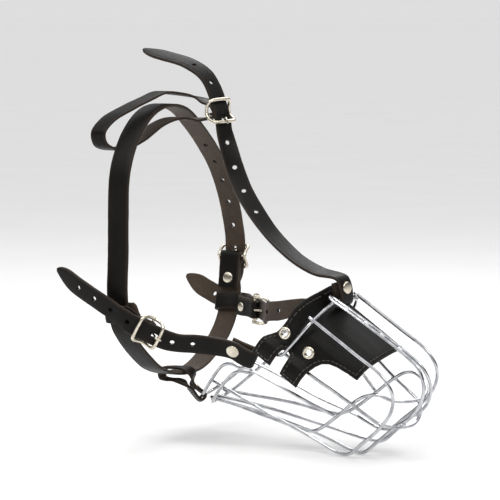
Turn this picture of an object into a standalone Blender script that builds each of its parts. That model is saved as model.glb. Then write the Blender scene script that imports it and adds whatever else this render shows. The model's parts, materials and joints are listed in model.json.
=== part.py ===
"""Wire basket muzzle for a large dog: a welded wire cage, a leather nose pad and buckled leather straps.

The frame is the dog's: +X forward, +Y to its left, +Z up, and the origin is in the middle of the cage's
rear opening. Lengths are in millimetres and become metres where an object is made. The cage hangs
nose down and a little rolled on its soft straps, so its wires are given in the cage's own axes.
"""
import math

import bmesh
import bpy
import numpy as np
from mathutils import Matrix, Vector

MM = 0.001

# Cage
WIRE_R = 1.2
CAGE_PITCH = math.radians(34.4)
CAGE_ROLL = math.radians(17.07)
CAGE_ORIGIN = Vector((-20, 0, -70))     # the point of the cage that lies at the model's origin

# Leather
STRAP_T = 2.2
STRAP_W = 14.5
SHORT_T = 1.8
SHORT_W = 13
CHIN_W = 10
NECK_T = 2.4
NECK_W = 16.5
PAD_T = 2.2
LINING_T = 1.4
RIVET_GAP = 0.45
TIP_L = 16                              # length of a strap's pointed end
TIP_SHARE = 0.22                        # width left at the end of the point
WIRE_GAP = 0.6                          # leather to the wire that it is looped on
COLLAR_IN = 2.1                         # collar's inner face to the short strap round it
COLLAR_OUT = 1.1                        # collar's outer face to the same strap
COLLAR_EDGE = 1.0
NECK_RIVET_R = 4.1
CHEEK_RIVET_R = 4.7
HEAD_RIVET_R = 4.4
SHORT_RIVET_R = 3.6
CHIN_RIVET_R = 3.0
EYELET_R = 4.6
DISC_SIDES = 12
WIRE_TURN = 20                          # degrees a wire turns between two stations, at most
STRAP_TURN = 13

# Buckles
BAR_R = 1.1
RING_R = 1.25
RING_HALF_L = 8.2                       # centre bar to end bar
END_RISE = 2.2                          # end bars above the strap's middle over the centre bar
PRONG_R = 0.8
EYE_R = BAR_R + 0.35 + PRONG_R
BAR_GAP = 0.35                          # folded leather to the centre bar
FOLD_GAP = 0.55                         # folded strap to the strap passing over it
END_GAP = 0.6                           # strap to the end bars that it passes under
REST_GAP = 0.3                          # resting prong to the end bar
RING_CORNER = 3.0
SLOT_W = 3.2
FOLD_CUT = (-3.6, -6), (4.2, 3.55)      # (along, out) corners of the slot for the prong's eye
NECK_FOLD_CUT = (-3.7, -6), (4.7, 3.9)
HOLE_CUT = (1.4, 2.6), (7.8, 10)        # the same for the slot that the prong goes through
NECK_HOLE_CUT = (1.4, 3.0), (7.8, 11)

STEEL = ("chromed_wire", (0.72, 0.73, 0.75), 0.16, 1.0)
NICKEL = ("nickel", (0.62, 0.58, 0.50), 0.28, 1.0)
LEATHER = ("black_leather", (0.020, 0.017, 0.015), 0.48, 0.0)
LINING = ("lining_leather", (0.028, 0.022, 0.018), 0.62, 0.0)


def clear_scene():
    for obj in list(bpy.data.objects):
        bpy.data.objects.remove(obj)


def material(finish):
    name, colour, roughness, metallic = finish
    mat = bpy.data.materials.get(name)
    if mat is None:
        mat = bpy.data.materials.new(name)
        mat.use_nodes = True
        shader = mat.node_tree.nodes["Principled BSDF"]
        shader.inputs["Base Color"].default_value = (*colour, 1)
        shader.inputs["Roughness"].default_value = roughness
        shader.inputs["Metallic"].default_value = metallic
    return mat


def cage_turn():
    return Matrix.Rotation(CAGE_PITCH, 3, "Y") @ Matrix.Rotation(CAGE_ROLL, 3, "X")


def cage(x, y, z):
    """A point of the cage, in the model's axes."""
    return cage_turn() @ (Vector((x, y, z)) - CAGE_ORIGIN)


def mirrored(points, side):
    """Cage points of the right side (side -1) or the left side (side +1) in the model's axes."""
    return [cage(x, side * y, z) for x, y, z in points]


def smooth(points, step, closed=False, turn=WIRE_TURN):
    """Stations along a smooth curve through rows of numbers; the first three are the place."""
    rows = np.array([list(p) for p in points], float)
    count = len(rows)
    if closed:
        rows = np.vstack([rows[-1], rows, rows[0], rows[1]])
    else:
        rows = np.vstack([2 * rows[0] - rows[1], rows, 2 * rows[-1] - rows[-2]])
    dense = []
    for i in range(count if closed else count - 1):
        p0, p1, p2, p3 = rows[i:i + 4]
        t1 = max(np.linalg.norm((p1 - p0)[:3]), 1e-6) ** 0.5
        t2 = t1 + max(np.linalg.norm((p2 - p1)[:3]), 1e-6) ** 0.5
        t3 = t2 + max(np.linalg.norm((p3 - p2)[:3]), 1e-6) ** 0.5
        for t in np.linspace(t1, t2, 24, endpoint=False):
            a1 = p0 * (t1 - t) / t1 + p1 * t / t1
            a2 = p1 * (t2 - t) / (t2 - t1) + p2 * (t - t1) / (t2 - t1)
            a3 = p2 * (t3 - t) / (t3 - t2) + p3 * (t - t2) / (t3 - t2)
            b1 = a1 * (t2 - t) / t2 + a2 * t / t2
            b2 = a2 * (t3 - t) / (t3 - t1) + a3 * (t - t1) / (t3 - t1)
            dense.append(b1 * (t2 - t) / (t2 - t1) + b2 * (t - t1) / (t2 - t1))
    dense.append(dense[0] if closed else rows[-2])
    dense = np.array(dense)
    moves = np.diff(dense[:, :3], axis=0)
    lengths = np.maximum(np.linalg.norm(moves, axis=1), 1e-9)
    headings = moves / lengths[:, None]
    widths = dense[:, 3:] / np.linalg.norm(dense[:, 3:], axis=1)[:, None] if dense.shape[1] > 3 else None
    kept = [0]
    least = math.cos(math.radians(turn))
    for i in range(1, len(dense) - 1):
        gone = lengths[kept[-1]:i].sum()
        turned = headings[kept[-1]] @ headings[i]
        if widths is not None:
            turned = min(turned, widths[kept[-1]] @ widths[i])
        if gone >= step or (turned < least and gone >= 0.5):
            kept.append(i)
    left = lengths[kept[-1]:].sum()
    if left < 0.4 * step and len(kept) > 3:
        kept.pop()
    if not closed:
        kept.append(len(dense) - 1)
    return dense[kept]


def add(name, data, finish):
    obj = bpy.data.objects.new(name, data)
    data.materials.append(material(finish))
    bpy.context.scene.collection.objects.link(obj)
    return obj


def wire(name, points, radius=WIRE_R, closed=False, step=11.0, finish=STEEL):
    """A round wire along a smooth curve through the points."""
    path = smooth(points, step, closed)
    curve = bpy.data.curves.new(name, "CURVE")
    curve.dimensions = "3D"
    curve.bevel_depth = radius * MM
    curve.bevel_resolution = 1
    curve.use_fill_caps = True
    spline = curve.splines.new("POLY")
    spline.points.add(len(path) - 1)
    for point, place in zip(spline.points, path):
        point.co = (*(place * MM), 1)
    spline.use_cyclic_u = closed
    return add(name, curve, finish)


def mesh_object(name, mesh_parts, finish):
    mesh = bpy.data.meshes.new(name)
    mesh_parts.normal_update()
    bmesh.ops.recalc_face_normals(mesh_parts, faces=mesh_parts.faces)
    mesh_parts.to_mesh(mesh)
    mesh_parts.free()
    return add(name, mesh, finish)


RUNS = {}                               # places along each strap and its rings of corners there


def ribbon(name, stations, width, thickness, closed=False, tip=0, step=9.0):
    """A strap along stations of (place, direction of its width); tip is a pointed end's length."""
    path = smooth([(*place, *across) for place, across in stations], step, closed, STRAP_TURN)
    places, across = path[:, :3], path[:, 3:]
    if closed:
        along = np.roll(places, -1, axis=0) - np.roll(places, 1, axis=0)
    else:
        along = np.gradient(places, axis=0)
    along /= np.linalg.norm(along, axis=1)[:, None]
    across /= np.linalg.norm(across, axis=1)[:, None]
    normal = np.cross(along, across)
    square = np.linalg.norm(normal, axis=1)     # 1 where the rings lie square to the strap
    normal /= square[:, None]
    left = np.linalg.norm(places - places[-1], axis=1)
    parts = bmesh.new()
    rings = []
    for i, place in enumerate(places):
        half = width / 2 / max(square[i], 0.85)
        if tip and i > len(places) // 2 and left[i] < tip:
            half *= TIP_SHARE + (1 - TIP_SHARE) * left[i] / tip
        corners = []
        for a, b in ((-1, -1), (1, -1), (1, 1), (-1, 1)):
            corner = place + across[i] * a * half + normal[i] * b * thickness / 2
            corners.append(parts.verts.new(corner * MM))
        rings.append(corners)
    for first, second in zip(rings, rings[1:] + (rings[:1] if closed else [])):
        for k in range(4):
            parts.faces.new((first[k], first[(k + 1) % 4], second[(k + 1) % 4], second[k]))
    if not closed:
        parts.faces.new(rings[0])
        parts.faces.new(rings[-1])
    RUNS[name] = places, [[corner.co / MM for corner in ring] for ring in rings]
    return mesh_object(name, parts, LEATHER)


def seat(place, along, out):
    """A frame on a strap: x along it, z out of its face."""
    along = Vector(along).normalized()
    out = Vector(out)
    out = (out - along * out.dot(along)).normalized()
    turn = Matrix((along, out.cross(along), out)).transposed()
    return Matrix.Translation(Vector(place)) @ turn.to_4x4()


def at(frame, x, z):
    """A point in the middle of a strap: x along it and z out of its face."""
    return frame @ Vector((x, 0, z))


def put(obj, frame):
    """Place an object whose mesh is drawn in a seat's own axes."""
    obj.matrix_world = Matrix.Translation(frame.translation * MM) @ frame.to_3x3().to_4x4()
    return obj


def nearest(strap, near):
    """The place on a strap closest to a point, and the strap's direction there."""
    places = RUNS[strap][0]
    best = None
    for first, second in zip(places, places[1:]):
        span = second - first
        share = np.clip((np.array(near) - first) @ span / (span @ span), 0, 1)
        spot = first + share * span
        gap = np.linalg.norm(np.array(near) - spot)
        if best is None or gap < best[0]:
            best = gap, spot, span / np.linalg.norm(span)
    ahead = places[np.linalg.norm(places - (best[1] + 6 * best[2]), axis=1).argmin()]
    behind = places[np.linalg.norm(places - (best[1] - 6 * best[2]), axis=1).argmin()]
    return Vector(best[1]), Vector(ahead - behind).normalized()


def rivet_on(name, strap, near, out, radius, thickness):
    """A cap on a strap's face, clear of the strap's curve under it."""
    spot, along = nearest(strap, near)
    frame = seat(spot, along, out)
    face = frame.to_3x3() @ Vector((0, 0, 1))
    rise = 0
    rings = RUNS[strap][1]
    for near_ring, far_ring in zip(rings, rings[1:]):
        for step in range(5):
            ring = [first.lerp(second, step / 5) for first, second in zip(near_ring, far_ring)]
            for first, second in ((ring[0], ring[1]), (ring[3], ring[2])):
                for share in range(11):
                    offset = first.lerp(second, share / 10) - spot
                    height = offset.dot(face)
                    if abs(height) < thickness / 2 + 2 and (offset - face * height).length < radius + 0.7:
                        rise = max(rise, height)
    disc(name, radius, CAP, seat(spot + face * (rise + RIVET_GAP), along, out))


def combine(obj, other, operation):
    """Join another shape to the object or cut it out, and hide that shape."""
    other.hide_render = True
    other.display_type = "WIRE"
    modifier = obj.modifiers.new(operation.lower(), "BOOLEAN")
    modifier.operation = operation
    modifier.solver = "EXACT"
    modifier.object = other


def box(name, low, high, frame):
    parts = bmesh.new()
    bmesh.ops.create_cube(parts, size=1)
    low, high = Vector(low), Vector(high)
    for vert in parts.verts:
        vert.co = Vector([(v * (h - l) + (h + l) / 2) * MM for v, l, h in zip(vert.co, low, high)])
    return put(mesh_object(name, parts, NICKEL), frame)


def disc(name, radius, profile, frame, hole=0):
    """A turned cap on a strap: profile rows of (radius factor, height); hole makes it a ring."""
    rows = [(max(hole, radius * factor), height) for factor, height in profile]
    parts = bmesh.new()
    rings = []
    for r, height in rows:
        ring = []
        for k in range(DISC_SIDES):
            angle = 2 * math.pi * k / DISC_SIDES
            ring.append(parts.verts.new((r * math.cos(angle) * MM, r * math.sin(angle) * MM, height * MM)))
        rings.append(ring)
    pairs = list(zip(rings, rings[1:]))
    if hole:
        pairs.append((rings[-1], rings[0]))
    else:
        parts.faces.new(rings[0])
        parts.faces.new(rings[-1])
    for first, second in pairs:
        for k in range(DISC_SIDES):
            after = (k + 1) % DISC_SIDES
            parts.faces.new((first[k], first[after], second[after], second[k]))
    return put(mesh_object(name, parts, NICKEL), frame)


CAP = [(0.86, 0), (1.0, 0.35), (0.92, 0.9), (0.5, 1.3)]
RING = [(1.0, 0), (1.0, 0.5), (0.85, 0.9), (0.6, 0.9), (0.5, 0.5), (0.5, 0)]


# ---------------------------------------------------------------- cage

TOP_SIDE = [(-6, 27, 0.3), (12, 27, 0.6), (36, 27, 1), (62, 27, 1), (74, 27, -5), (79, 27, -17),
            (77, 27, -36), (70, 26, -58), (65, 25, -72), (58, 24.5, -78), (34, 24.5, -83.5),
            (4, 23, -92), (-30, 23, -99.5), (-57, 21.8, -106)]
TOP_MIDDLE = [(-9, 1.6, 4.3), (12, 1.6, 6), (36, 1.6, 7.4), (62, 1.6, 8), (74, 2.2, 6.5), (84, 4, -2),
              (87.6, 6, -14), (86, 8, -27), (80.5, 9.8, -40), (74, 11, -60), (69, 11.3, -74),
              (61, 10.6, -80), (33, 7, -91), (-20, 4.5, -115), (-58.5, 2.6, -135.6)]
HOOP_SIDE = [(-58, 7.4, -131.6), (-40, 9.5, -121.5), (-5, 15, -103), (18, 16.5, -92), (28, 17.8, -86),
             (34, 19.2, -78), (43, 21.6, -56), (50, 23.5, -36), (56, 23.8, -24), (63, 22.5, -17.5),
             (73, 19.5, -15.5), (81.5, 10.5, -13.5)]
HOOP_FRONT = (84.6, 0, -12.5)
BAND_SIDE = [(-9.2, 34.2, -33), (16, 32.6, -34), (34, 29, -35), (50, 26.6, -35.5), (64, 25.2, -35.5),
             (75, 23.2, -35.5), (82.6, 15.5, -35.5), (86.4, 8, -35.5)]
BAND_FRONT = (88, 0, -35.5)
SIDE = [(-25.2, 38.3, -61.2), (-12, 37, -58.8), (4, 35.5, -56.2), (25, 31, -55), (41.5, 25, -54.6)]
RIM_TOP = (-6, 0, 1.4)
RIM_SIDE = [(-4, 20, -0.9), (-3.2, 27, -3.2), (-4, 32.5, -12), (-6, 36, -25), (-9, 37.4, -34),
            (-17, 38, -36), (-25, 38.5, -38), (-28, 38.5, -42), (-28, 38.5, -51), (-28, 38.5, -60),
            (-31.5, 38.4, -65), (-41, 37, -69.5), (-47.5, 34.5, -78), (-55, 26, -104),
            (-62.4, 13.5, -130), (-66.6, 6.5, -139.6)]
RIM_BOTTOM = (-67, 0, -140.6)
INNER_SIDE = [(-24, 36.2, -64.5), (-32, 35.8, -70), (-37.8, 33.8, -78), (-45.5, 26.3, -102),
              (-53, 13, -128), (-56.8, 5, -137)]
INNER_BOTTOM = (-57.4, 0, -138.6)


def loop_round(front, side):
    """The right half, the point in the middle and the left half of a wire, as one run."""
    return mirrored(side, -1) + [cage(*front)] + mirrored(side[::-1], 1)


def make_cage():
    for name, side in (("right", -1), ("left", 1)):
        wire("cage_top_wire_" + name, mirrored(TOP_SIDE, side))
        wire("cage_middle_wire_" + name, mirrored(TOP_MIDDLE, side))
        wire("cage_side_wire_" + name, mirrored(SIDE, side))
    wire("cage_nose_hoop", loop_round(HOOP_FRONT, HOOP_SIDE))
    wire("cage_band_wire", loop_round(BAND_FRONT, BAND_SIDE))
    wire("cage_inner_rim", loop_round(INNER_BOTTOM, INNER_SIDE))
    rim = loop_round(RIM_BOTTOM, RIM_SIDE) + [cage(*RIM_TOP)]
    wire("cage_rear_rim", rim, closed=True)


# ---------------------------------------------------------------- nose pad

PAD_REAR_X = -19
PAD_FRONT_X = 47
TAB_REAR_X = -27
TAB_FRONT_X = 14
SLIT = (-10.5, -1.5)                    # the rear rim passes between the two lobes of a tab
PAD_HALF = [(0, -5.5), (10, -5.8), (18, -6.8), (23.4, -9.2), (27.2, -13.2)]
TAB_HALF = [(30.2, -18.2), (32.3, -23.7), (34.6, -27.5), (39.0, -31), (41.6, -36), (42.6, -42.8)]
LINING_DROP = PAD_T / 2 + 0.8 + LINING_T / 2


def pad_lift(x):
    """The pad turns up behind the rear rim."""
    return 0.75 * max(0, -9 - x)


def pad_sheet(name, profile, xs, drop, thickness, keep, finish):
    """A leather sheet over rows of (half width, height), mirrored, with the cells that keep allows."""
    rows = [(-y, z) for y, z in profile[:0:-1]] + list(profile)
    parts = bmesh.new()
    verts = {}
    for i, x in enumerate(xs):
        for j, (y, z) in enumerate(rows):
            lift = pad_lift(x) if abs(y) < 28 else 0
            verts[i, j] = parts.verts.new(cage(x, y, z - drop + lift) * MM)
    for i in range(len(xs) - 1):
        for j in range(len(rows) - 1):
            middle_x = (xs[i] + xs[i + 1]) / 2
            middle_y = abs(rows[j][0] + rows[j + 1][0]) / 2
            if keep(middle_x, middle_y):
                parts.faces.new((verts[i, j], verts[i + 1, j], verts[i + 1, j + 1], verts[i, j + 1]))
    loose = [v for v in parts.verts if not v.link_faces]
    bmesh.ops.delete(parts, geom=loose, context="VERTS")
    obj = mesh_object(name, parts, finish)
    skin = obj.modifiers.new("thickness", "SOLIDIFY")
    skin.thickness = thickness * MM
    skin.offset = 0
    return obj


def pad_keep(x, y):
    if y < 27.6:
        return PAD_REAR_X < x < PAD_FRONT_X
    if y < 33:
        return PAD_REAR_X < x < TAB_FRONT_X
    return TAB_REAR_X < x < TAB_FRONT_X and not SLIT[0] < x < SLIT[1]


def make_pad():
    xs = [TAB_REAR_X, PAD_REAR_X, -14, SLIT[0], SLIT[1], 5, TAB_FRONT_X, 22, 30, 38, PAD_FRONT_X]
    pad_sheet("nose_pad", PAD_HALF + TAB_HALF, xs, 0, PAD_T, pad_keep, LEATHER)
    inner = [x for x in xs if SLIT[1] <= x < PAD_FRONT_X]
    pad_sheet("nose_pad_lining", PAD_HALF[:4], inner, LINING_DROP, LINING_T, lambda x, y: True, LINING)
    for name, side in (("right", -1), ("left", 1)):
        for place, x in (("rear", -15.5), ("front", 7)):
            frame = seat(cage(x, side * 32.93, -19.77), cage_turn() @ Vector((1, 0, 0)),
                         cage_turn() @ Vector((0, side, 0.31)))
            disc(f"pad_eyelet_{place}_{name}", EYELET_R, RING, frame, hole=EYELET_R / 2)


# ---------------------------------------------------------------- buckles

def fold_radius(fold_t):
    """The middle of a folded strap round the centre bar."""
    return BAR_R + BAR_GAP + fold_t / 2


def strap_over(strap_t, fold_t):
    """The height of a strap's middle where it passes over the fold."""
    return BAR_R + BAR_GAP + fold_t + FOLD_GAP + strap_t / 2


def ring_path(half_w, rise):
    """A buckle's rounded frame: flat across the bars, arched along the strap."""
    points = []
    for cx, cy, start in ((1, 1, 0), (-1, 1, 90), (-1, -1, 180), (1, -1, 270)):
        for turn in (0, 30, 60, 90):
            angle = math.radians(start + turn)
            x = cx * (RING_HALF_L - RING_CORNER) + RING_CORNER * math.cos(angle)
            y = cy * (half_w - RING_CORNER) + RING_CORNER * math.sin(angle)
            points.append((x, y, rise * (x / RING_HALF_L) ** 2))
        if cy * cx > 0:
            for x in (0.55 * cx * RING_HALF_L, 0, -0.55 * cx * RING_HALF_L):
                points.append((x, cy * half_w, rise * (x / RING_HALF_L) ** 2))
    return points


def tube_mesh(name, path, radius, sides, closed):
    """A tube drawn with its own frames along a path, so that it can be joined to other shapes."""
    parts = bmesh.new()
    rings = []
    count = len(path)
    for i in range(count):
        ahead = path[(i + 1) % count] if closed or i + 1 < count else path[i]
        behind = path[i - 1] if closed or i else path[i]
        along = (Vector(ahead) - Vector(behind)).normalized()
        side = along.cross(Vector((0, 0, 1)))
        side = side.normalized() if side.length > 0.2 else Vector((0, 1, 0))
        up = side.cross(along).normalized()
        ring = []
        for k in range(sides):
            angle = 2 * math.pi * k / sides
            place = Vector(path[i]) + (side * math.cos(angle) + up * math.sin(angle)) * radius
            ring.append(parts.verts.new(place * MM))
        rings.append(ring)
    for first, second in zip(rings, rings[1:] + (rings[:1] if closed else [])):
        for k in range(sides):
            parts.faces.new((first[k], first[(k + 1) % sides], second[(k + 1) % sides], second[k]))
    if not closed:
        parts.faces.new(rings[0])
        parts.faces.new(rings[-1])
    return mesh_object(name, parts, NICKEL)


def make_buckle(name, frame, half_w, rise):
    """A centre-bar frame that rocks on its bar, and a prong hinged on the same bar."""
    body = put(tube_mesh(name + "_buckle", ring_path(half_w, rise), RING_R, 8, True), frame)
    bar_path = [(0, -half_w, 0), (0, 0, 0), (0, half_w, 0)]
    bar = put(tube_mesh(name + "_bar_cutter", bar_path, BAR_R, 10, False), frame)
    combine(body, bar, "UNION")
    eye = []
    for turn in range(60, 331, 30):
        angle = math.radians(turn)
        eye.append((EYE_R * math.cos(angle), 0, EYE_R * math.sin(angle)))
    rest = rise + RING_R + REST_GAP + PRONG_R
    pin = [(3.5, 0, 1.6), (4.8, 0, 4.2), (6.3, 0, rest - 0.4), (8.2, 0, rest), (10.6, 0, rest - 0.1)]
    prong = wire(name + "_prong", eye + pin, PRONG_R, step=1.2, finish=NICKEL)
    put(prong, frame)


def over_buckle(frame, thickness, fold_t, ends=(14, -14)):
    """A strap's way under the end bars and over the folded strap, front to rear."""
    over = strap_over(thickness, fold_t)
    under = over + END_RISE - RING_R - END_GAP - thickness / 2
    run = [(ends[0], under - 1.3), (RING_HALF_L + 0.6, under - 0.1), (4.3, over - 0.4), (0, over),
           (-4.3, over - 0.4), (-RING_HALF_L - 0.6, under - 0.3), (ends[1], under - 0.3)]
    return [at(frame, x, z) for x, z in run]


def fold(frame, radius, tail=7, drop=0):
    """A strap's bend round the centre bar, from its outer leg to its inner leg."""
    points = [(-tail, drop), (-3.4, 0.8 * radius)]
    for turn in (90, 45, 0, -45, -90):
        angle = math.radians(turn)
        points.append((radius * math.cos(angle), radius * math.sin(angle)))
    points += [(-3.2, -radius), (-tail, -radius - 0.5)]
    return [at(frame, x, z) for x, z in points]


def slot(name, frame, corners, strap):
    """Cut a prong slot between two (along, out) corners in the buckle's seat."""
    low, high = corners
    cutter = box(name, (low[0], -SLOT_W / 2, low[1]), (high[0], SLOT_W / 2, high[1]), frame)
    combine(strap, cutter, "DIFFERENCE")


# ---------------------------------------------------------------- straps

FORWARD = Vector((1, 0, 0))
LEFT = Vector((0, 1, 0))
UP = Vector((0, 0, 1))

NECK_RING = [(-89, 81.5, 43), (-88.5, 76, 27), (-88, 64.7, 13), (-88, 46, 0), (-88, 23, -9.5), (-88, -7, -10.5),
             (-88, -34, -4), (-88.5, -50, 5.8), (-89, -66, 18.9), (-89.5, -75.5, 31), (-90, -79.5, 52),
             (-90.5, -77.5, 81), (-91, -76.4, 105), (-91, -74.8, 134), (-91, -69.4, 149.3), (-91, -60, 163),
             (-91, -44.3, 176.2), (-91, -28.1, 182.7), (-91, -9, 184), (-91, 9.3, 180), (-91, 29, 168),
             (-91, 49, 152.5), (-91, 67.6, 134), (-91, 82, 110), (-90.5, 87.5, 93)]
NECK_BUCKLE = seat((-90, 84.6, 68), (0, 0.1, 1), (0, 1, -0.1))

ANCHOR = (-28, 38.5, -51.4)              # on the rear rim's upright, in the cage's axes
# Each cheek strap: its buckle's seat, its way forward and its free end, the direction across the free end,
# the place where its short strap holds the collar, and the way back from the rim.
CHEEKS = {
    "right": dict(
        side=-1, buckle=seat((-68, -74, 28.5), (0.752, 0.486, -0.444), (0.45, -0.87, -0.19)),
        run=[(-50.4, -66, 19.9), (-36.6, -57.5, 18.7), (-20, -49.5, 14.6)],
        free=[(-82.5, -86.4, 38.2), (-89, -87.4, 42.6), (-101, -89.5, 50), (-118, -90, 59.7), (-133.6, -89, 69.8)],
        tail=(0.17, -0.25, 0.95), collar=(-89.8, -77.5, 39), back=(-0.9, -0.37, 0.23)),
    "left": dict(
        side=1, buckle=seat((-58, 62, 30.8), (0.80, -0.57, -0.12), (0.58, 0.815, 0)),
        run=[(-41, 52.5, 31), (-28, 46.5, 33), (-14, 41, 34.5)],
        free=[(-80, 85, 33), (-94, 86.6, 33.8), (-113.8, 88.5, 41), (-131.5, 88, 50.5)],
        tail=(0.18, 0.37, 0.91), collar=(-88.7, 78.1, 33), back=(-0.83, 0.36, 0.3)),
}


def make_neck():
    """The collar: one strap from its fold at the buckle round the neck and back through the buckle."""
    half_w = NECK_W / 2 + 2.6
    frame = NECK_BUCKLE
    bend = fold(frame, fold_radius(NECK_T))
    inner = [at(frame, -24, -3.9), at(frame, -15, -3.1)]
    outer_leg = [at(frame, -14, 0), at(frame, -20, 0.2)]
    over = over_buckle(frame, NECK_T, NECK_T, ends=(15, -15))
    path = inner + bend[::-1] + outer_leg + [Vector(p) for p in NECK_RING] + over + [at(frame, -25.5, 4.8)]
    strap = ribbon("neck_strap", [(p, FORWARD) for p in path], NECK_W, NECK_T, tip=TIP_L, step=8)
    slot("neck_fold_cutter", frame, NECK_FOLD_CUT, strap)
    slot("neck_hole_cutter", frame, NECK_HOLE_CUT, strap)
    make_buckle("neck", frame, half_w, strap_over(NECK_T, NECK_T) + END_RISE)
    rivet_on("neck_rivet", "neck_strap", at(frame, -16, -2.8), -frame.col[2].xyz, NECK_RIVET_R, NECK_T)


def facing(vector, way):
    """The vector or its opposite, whichever leans along the given way."""
    return vector if vector.dot(way) > 0 else -vector


def buckle_width(frame, way):
    """The direction of a buckle's bar, leaning along the given way."""
    return facing(frame.to_3x3() @ Vector((0, 1, 0)), way)


def make_cheek_strap(name, side, frame, data):
    """A cheek strap, looped on the rear rim's upright and drawn back through its buckle to a pointed end."""
    post = cage(ANCHOR[0], side * ANCHOR[1], ANCHOR[2])
    upright = cage_turn() @ Vector((0, 0, 1))
    back = Vector(data["back"])
    back = (back - upright * back.dot(upright)).normalized()
    out = facing(back.cross(upright).normalized(), LEFT * side)
    clear = WIRE_R + WIRE_GAP + STRAP_T / 2
    loop = [post + back * 17 - out * 3.4, post + back * 10 - out * 2.9, post + back * 5 - out * clear]
    for turn in (-90, -45, 0, 45, 90):
        angle = math.radians(turn)
        loop.append(post - back * clear * math.cos(angle) + out * clear * math.sin(angle))
    loop += [post + back * 6 + out * (clear - 0.1), post + back * 14 + out * 1.0]
    bar_way = buckle_width(frame, UP)
    middle = (upright + bar_way).normalized()
    stations = [(p, upright) for p in loop]
    stations += [(Vector(p), middle) for p in data["run"][::-1][1:]]
    stations += [(p, bar_way) for p in over_buckle(frame, STRAP_T, SHORT_T)]
    stations += [(Vector(p), Vector(data["tail"])) for p in data["free"]]
    strap = ribbon("cheek_strap_" + name, stations, STRAP_W, STRAP_T, tip=TIP_L)
    slot(name + "_cheek_hole_cutter", frame, HOLE_CUT, strap)
    near = post + back * 13 + out * 1.5
    rivet_on("cheek_rivet_" + name, "cheek_strap_" + name, near, out, CHEEK_RIVET_R, STRAP_T)


def make_cheek_buckle_strap(name, side, frame, data):
    """The short strap from the cheek buckle's bar round the collar and back, riveted behind the bar."""
    collar, down_collar = nearest("neck_strap", data["collar"])
    down_collar = facing(down_collar, UP)
    outward = facing(FORWARD.cross(down_collar).normalized(), LEFT * side)
    edge = NECK_W / 2 + COLLAR_EDGE + SHORT_T / 2
    inner = NECK_T / 2 + COLLAR_IN + SHORT_T / 2
    outer = NECK_T / 2 + COLLAR_OUT + SHORT_T / 2
    to_bar = (frame.translation - collar).normalized()
    legs = facing(to_bar.cross(UP).normalized(), LEFT * side)
    wrap = [collar + to_bar * 15 - legs * 1.9, collar + FORWARD * 10.4 - outward * inner,
            collar - FORWARD * 5 - outward * inner, collar - FORWARD * (edge - 0.9) - outward * (inner - 1.0),
            collar - FORWARD * edge, collar - FORWARD * (edge - 0.9) + outward * (outer - 1.0),
            collar - FORWARD * 5 + outward * outer, collar + FORWARD * 8.0 + outward * outer,
            collar + to_bar * 15 + legs * 1.5]
    bar_way = buckle_width(frame, UP)
    bend = fold(frame, fold_radius(SHORT_T), tail=5.6, drop=0.7)
    stations = [(p, bar_way) for p in bend] + [(wrap[0], bar_way + down_collar)]
    stations += [(p, down_collar) for p in wrap[1:-1]] + [(wrap[-1], bar_way + down_collar)]
    strap = ribbon("cheek_buckle_strap_" + name, stations, SHORT_W, SHORT_T, closed=True)
    slot(name + "_fold_cutter", frame, FOLD_CUT, strap)
    near = (bend[-1] + wrap[0]) / 2
    rivet_on("cheek_buckle_rivet_" + name, "cheek_buckle_strap_" + name, near, -legs, SHORT_RIVET_R, SHORT_T)


def make_cheek(name, data):
    side, frame = data["side"], data["buckle"]
    make_cheek_strap(name, side, frame, data)
    make_cheek_buckle_strap(name, side, frame, data)
    make_buckle("cheek_" + name, frame, STRAP_W / 2 + 2.5, strap_over(STRAP_T, SHORT_T) + END_RISE)


HEAD_BUCKLE = seat((-59, 9, 178), (0.33, -0.1, -0.94), (0.80, -0.45, 0.36))
HEAD_RUN = [(-51.3, 7.2, 161), (-43.5, 6, 140), (-35, 3.5, 124), (-23.9, 0.5, 110), (-10.7, -3, 96.5),
            (2, -7, 86.8), (19.2, -12, 76.5), (36, -13.5, 69.5), (48, -12, 64)]
HEAD_ACROSS = [(0.55, 0.8, 0.15), (0.78, 0.52, 0.3), (0.75, 0.55, 0.3), (0.6, 0.7, 0.3), (0.45, 0.85, 0.25),
               (0.3, 0.9, 0.25), (0.2, 0.95, 0.24), (0.166, 0.955, 0.242), (0.166, 0.955, 0.242)]
HEAD_FREE = [(-69, 10, 205), (-84, 10, 214), (-103, 10, 219), (-122, 10, 223.5)]
HEAD_POST = (-5, 12, 0.45)              # where it hangs on the rear rim, left of the middle wires
HEAD_FREE_ACROSS = (0.3, 0.9, 0.3)


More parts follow.
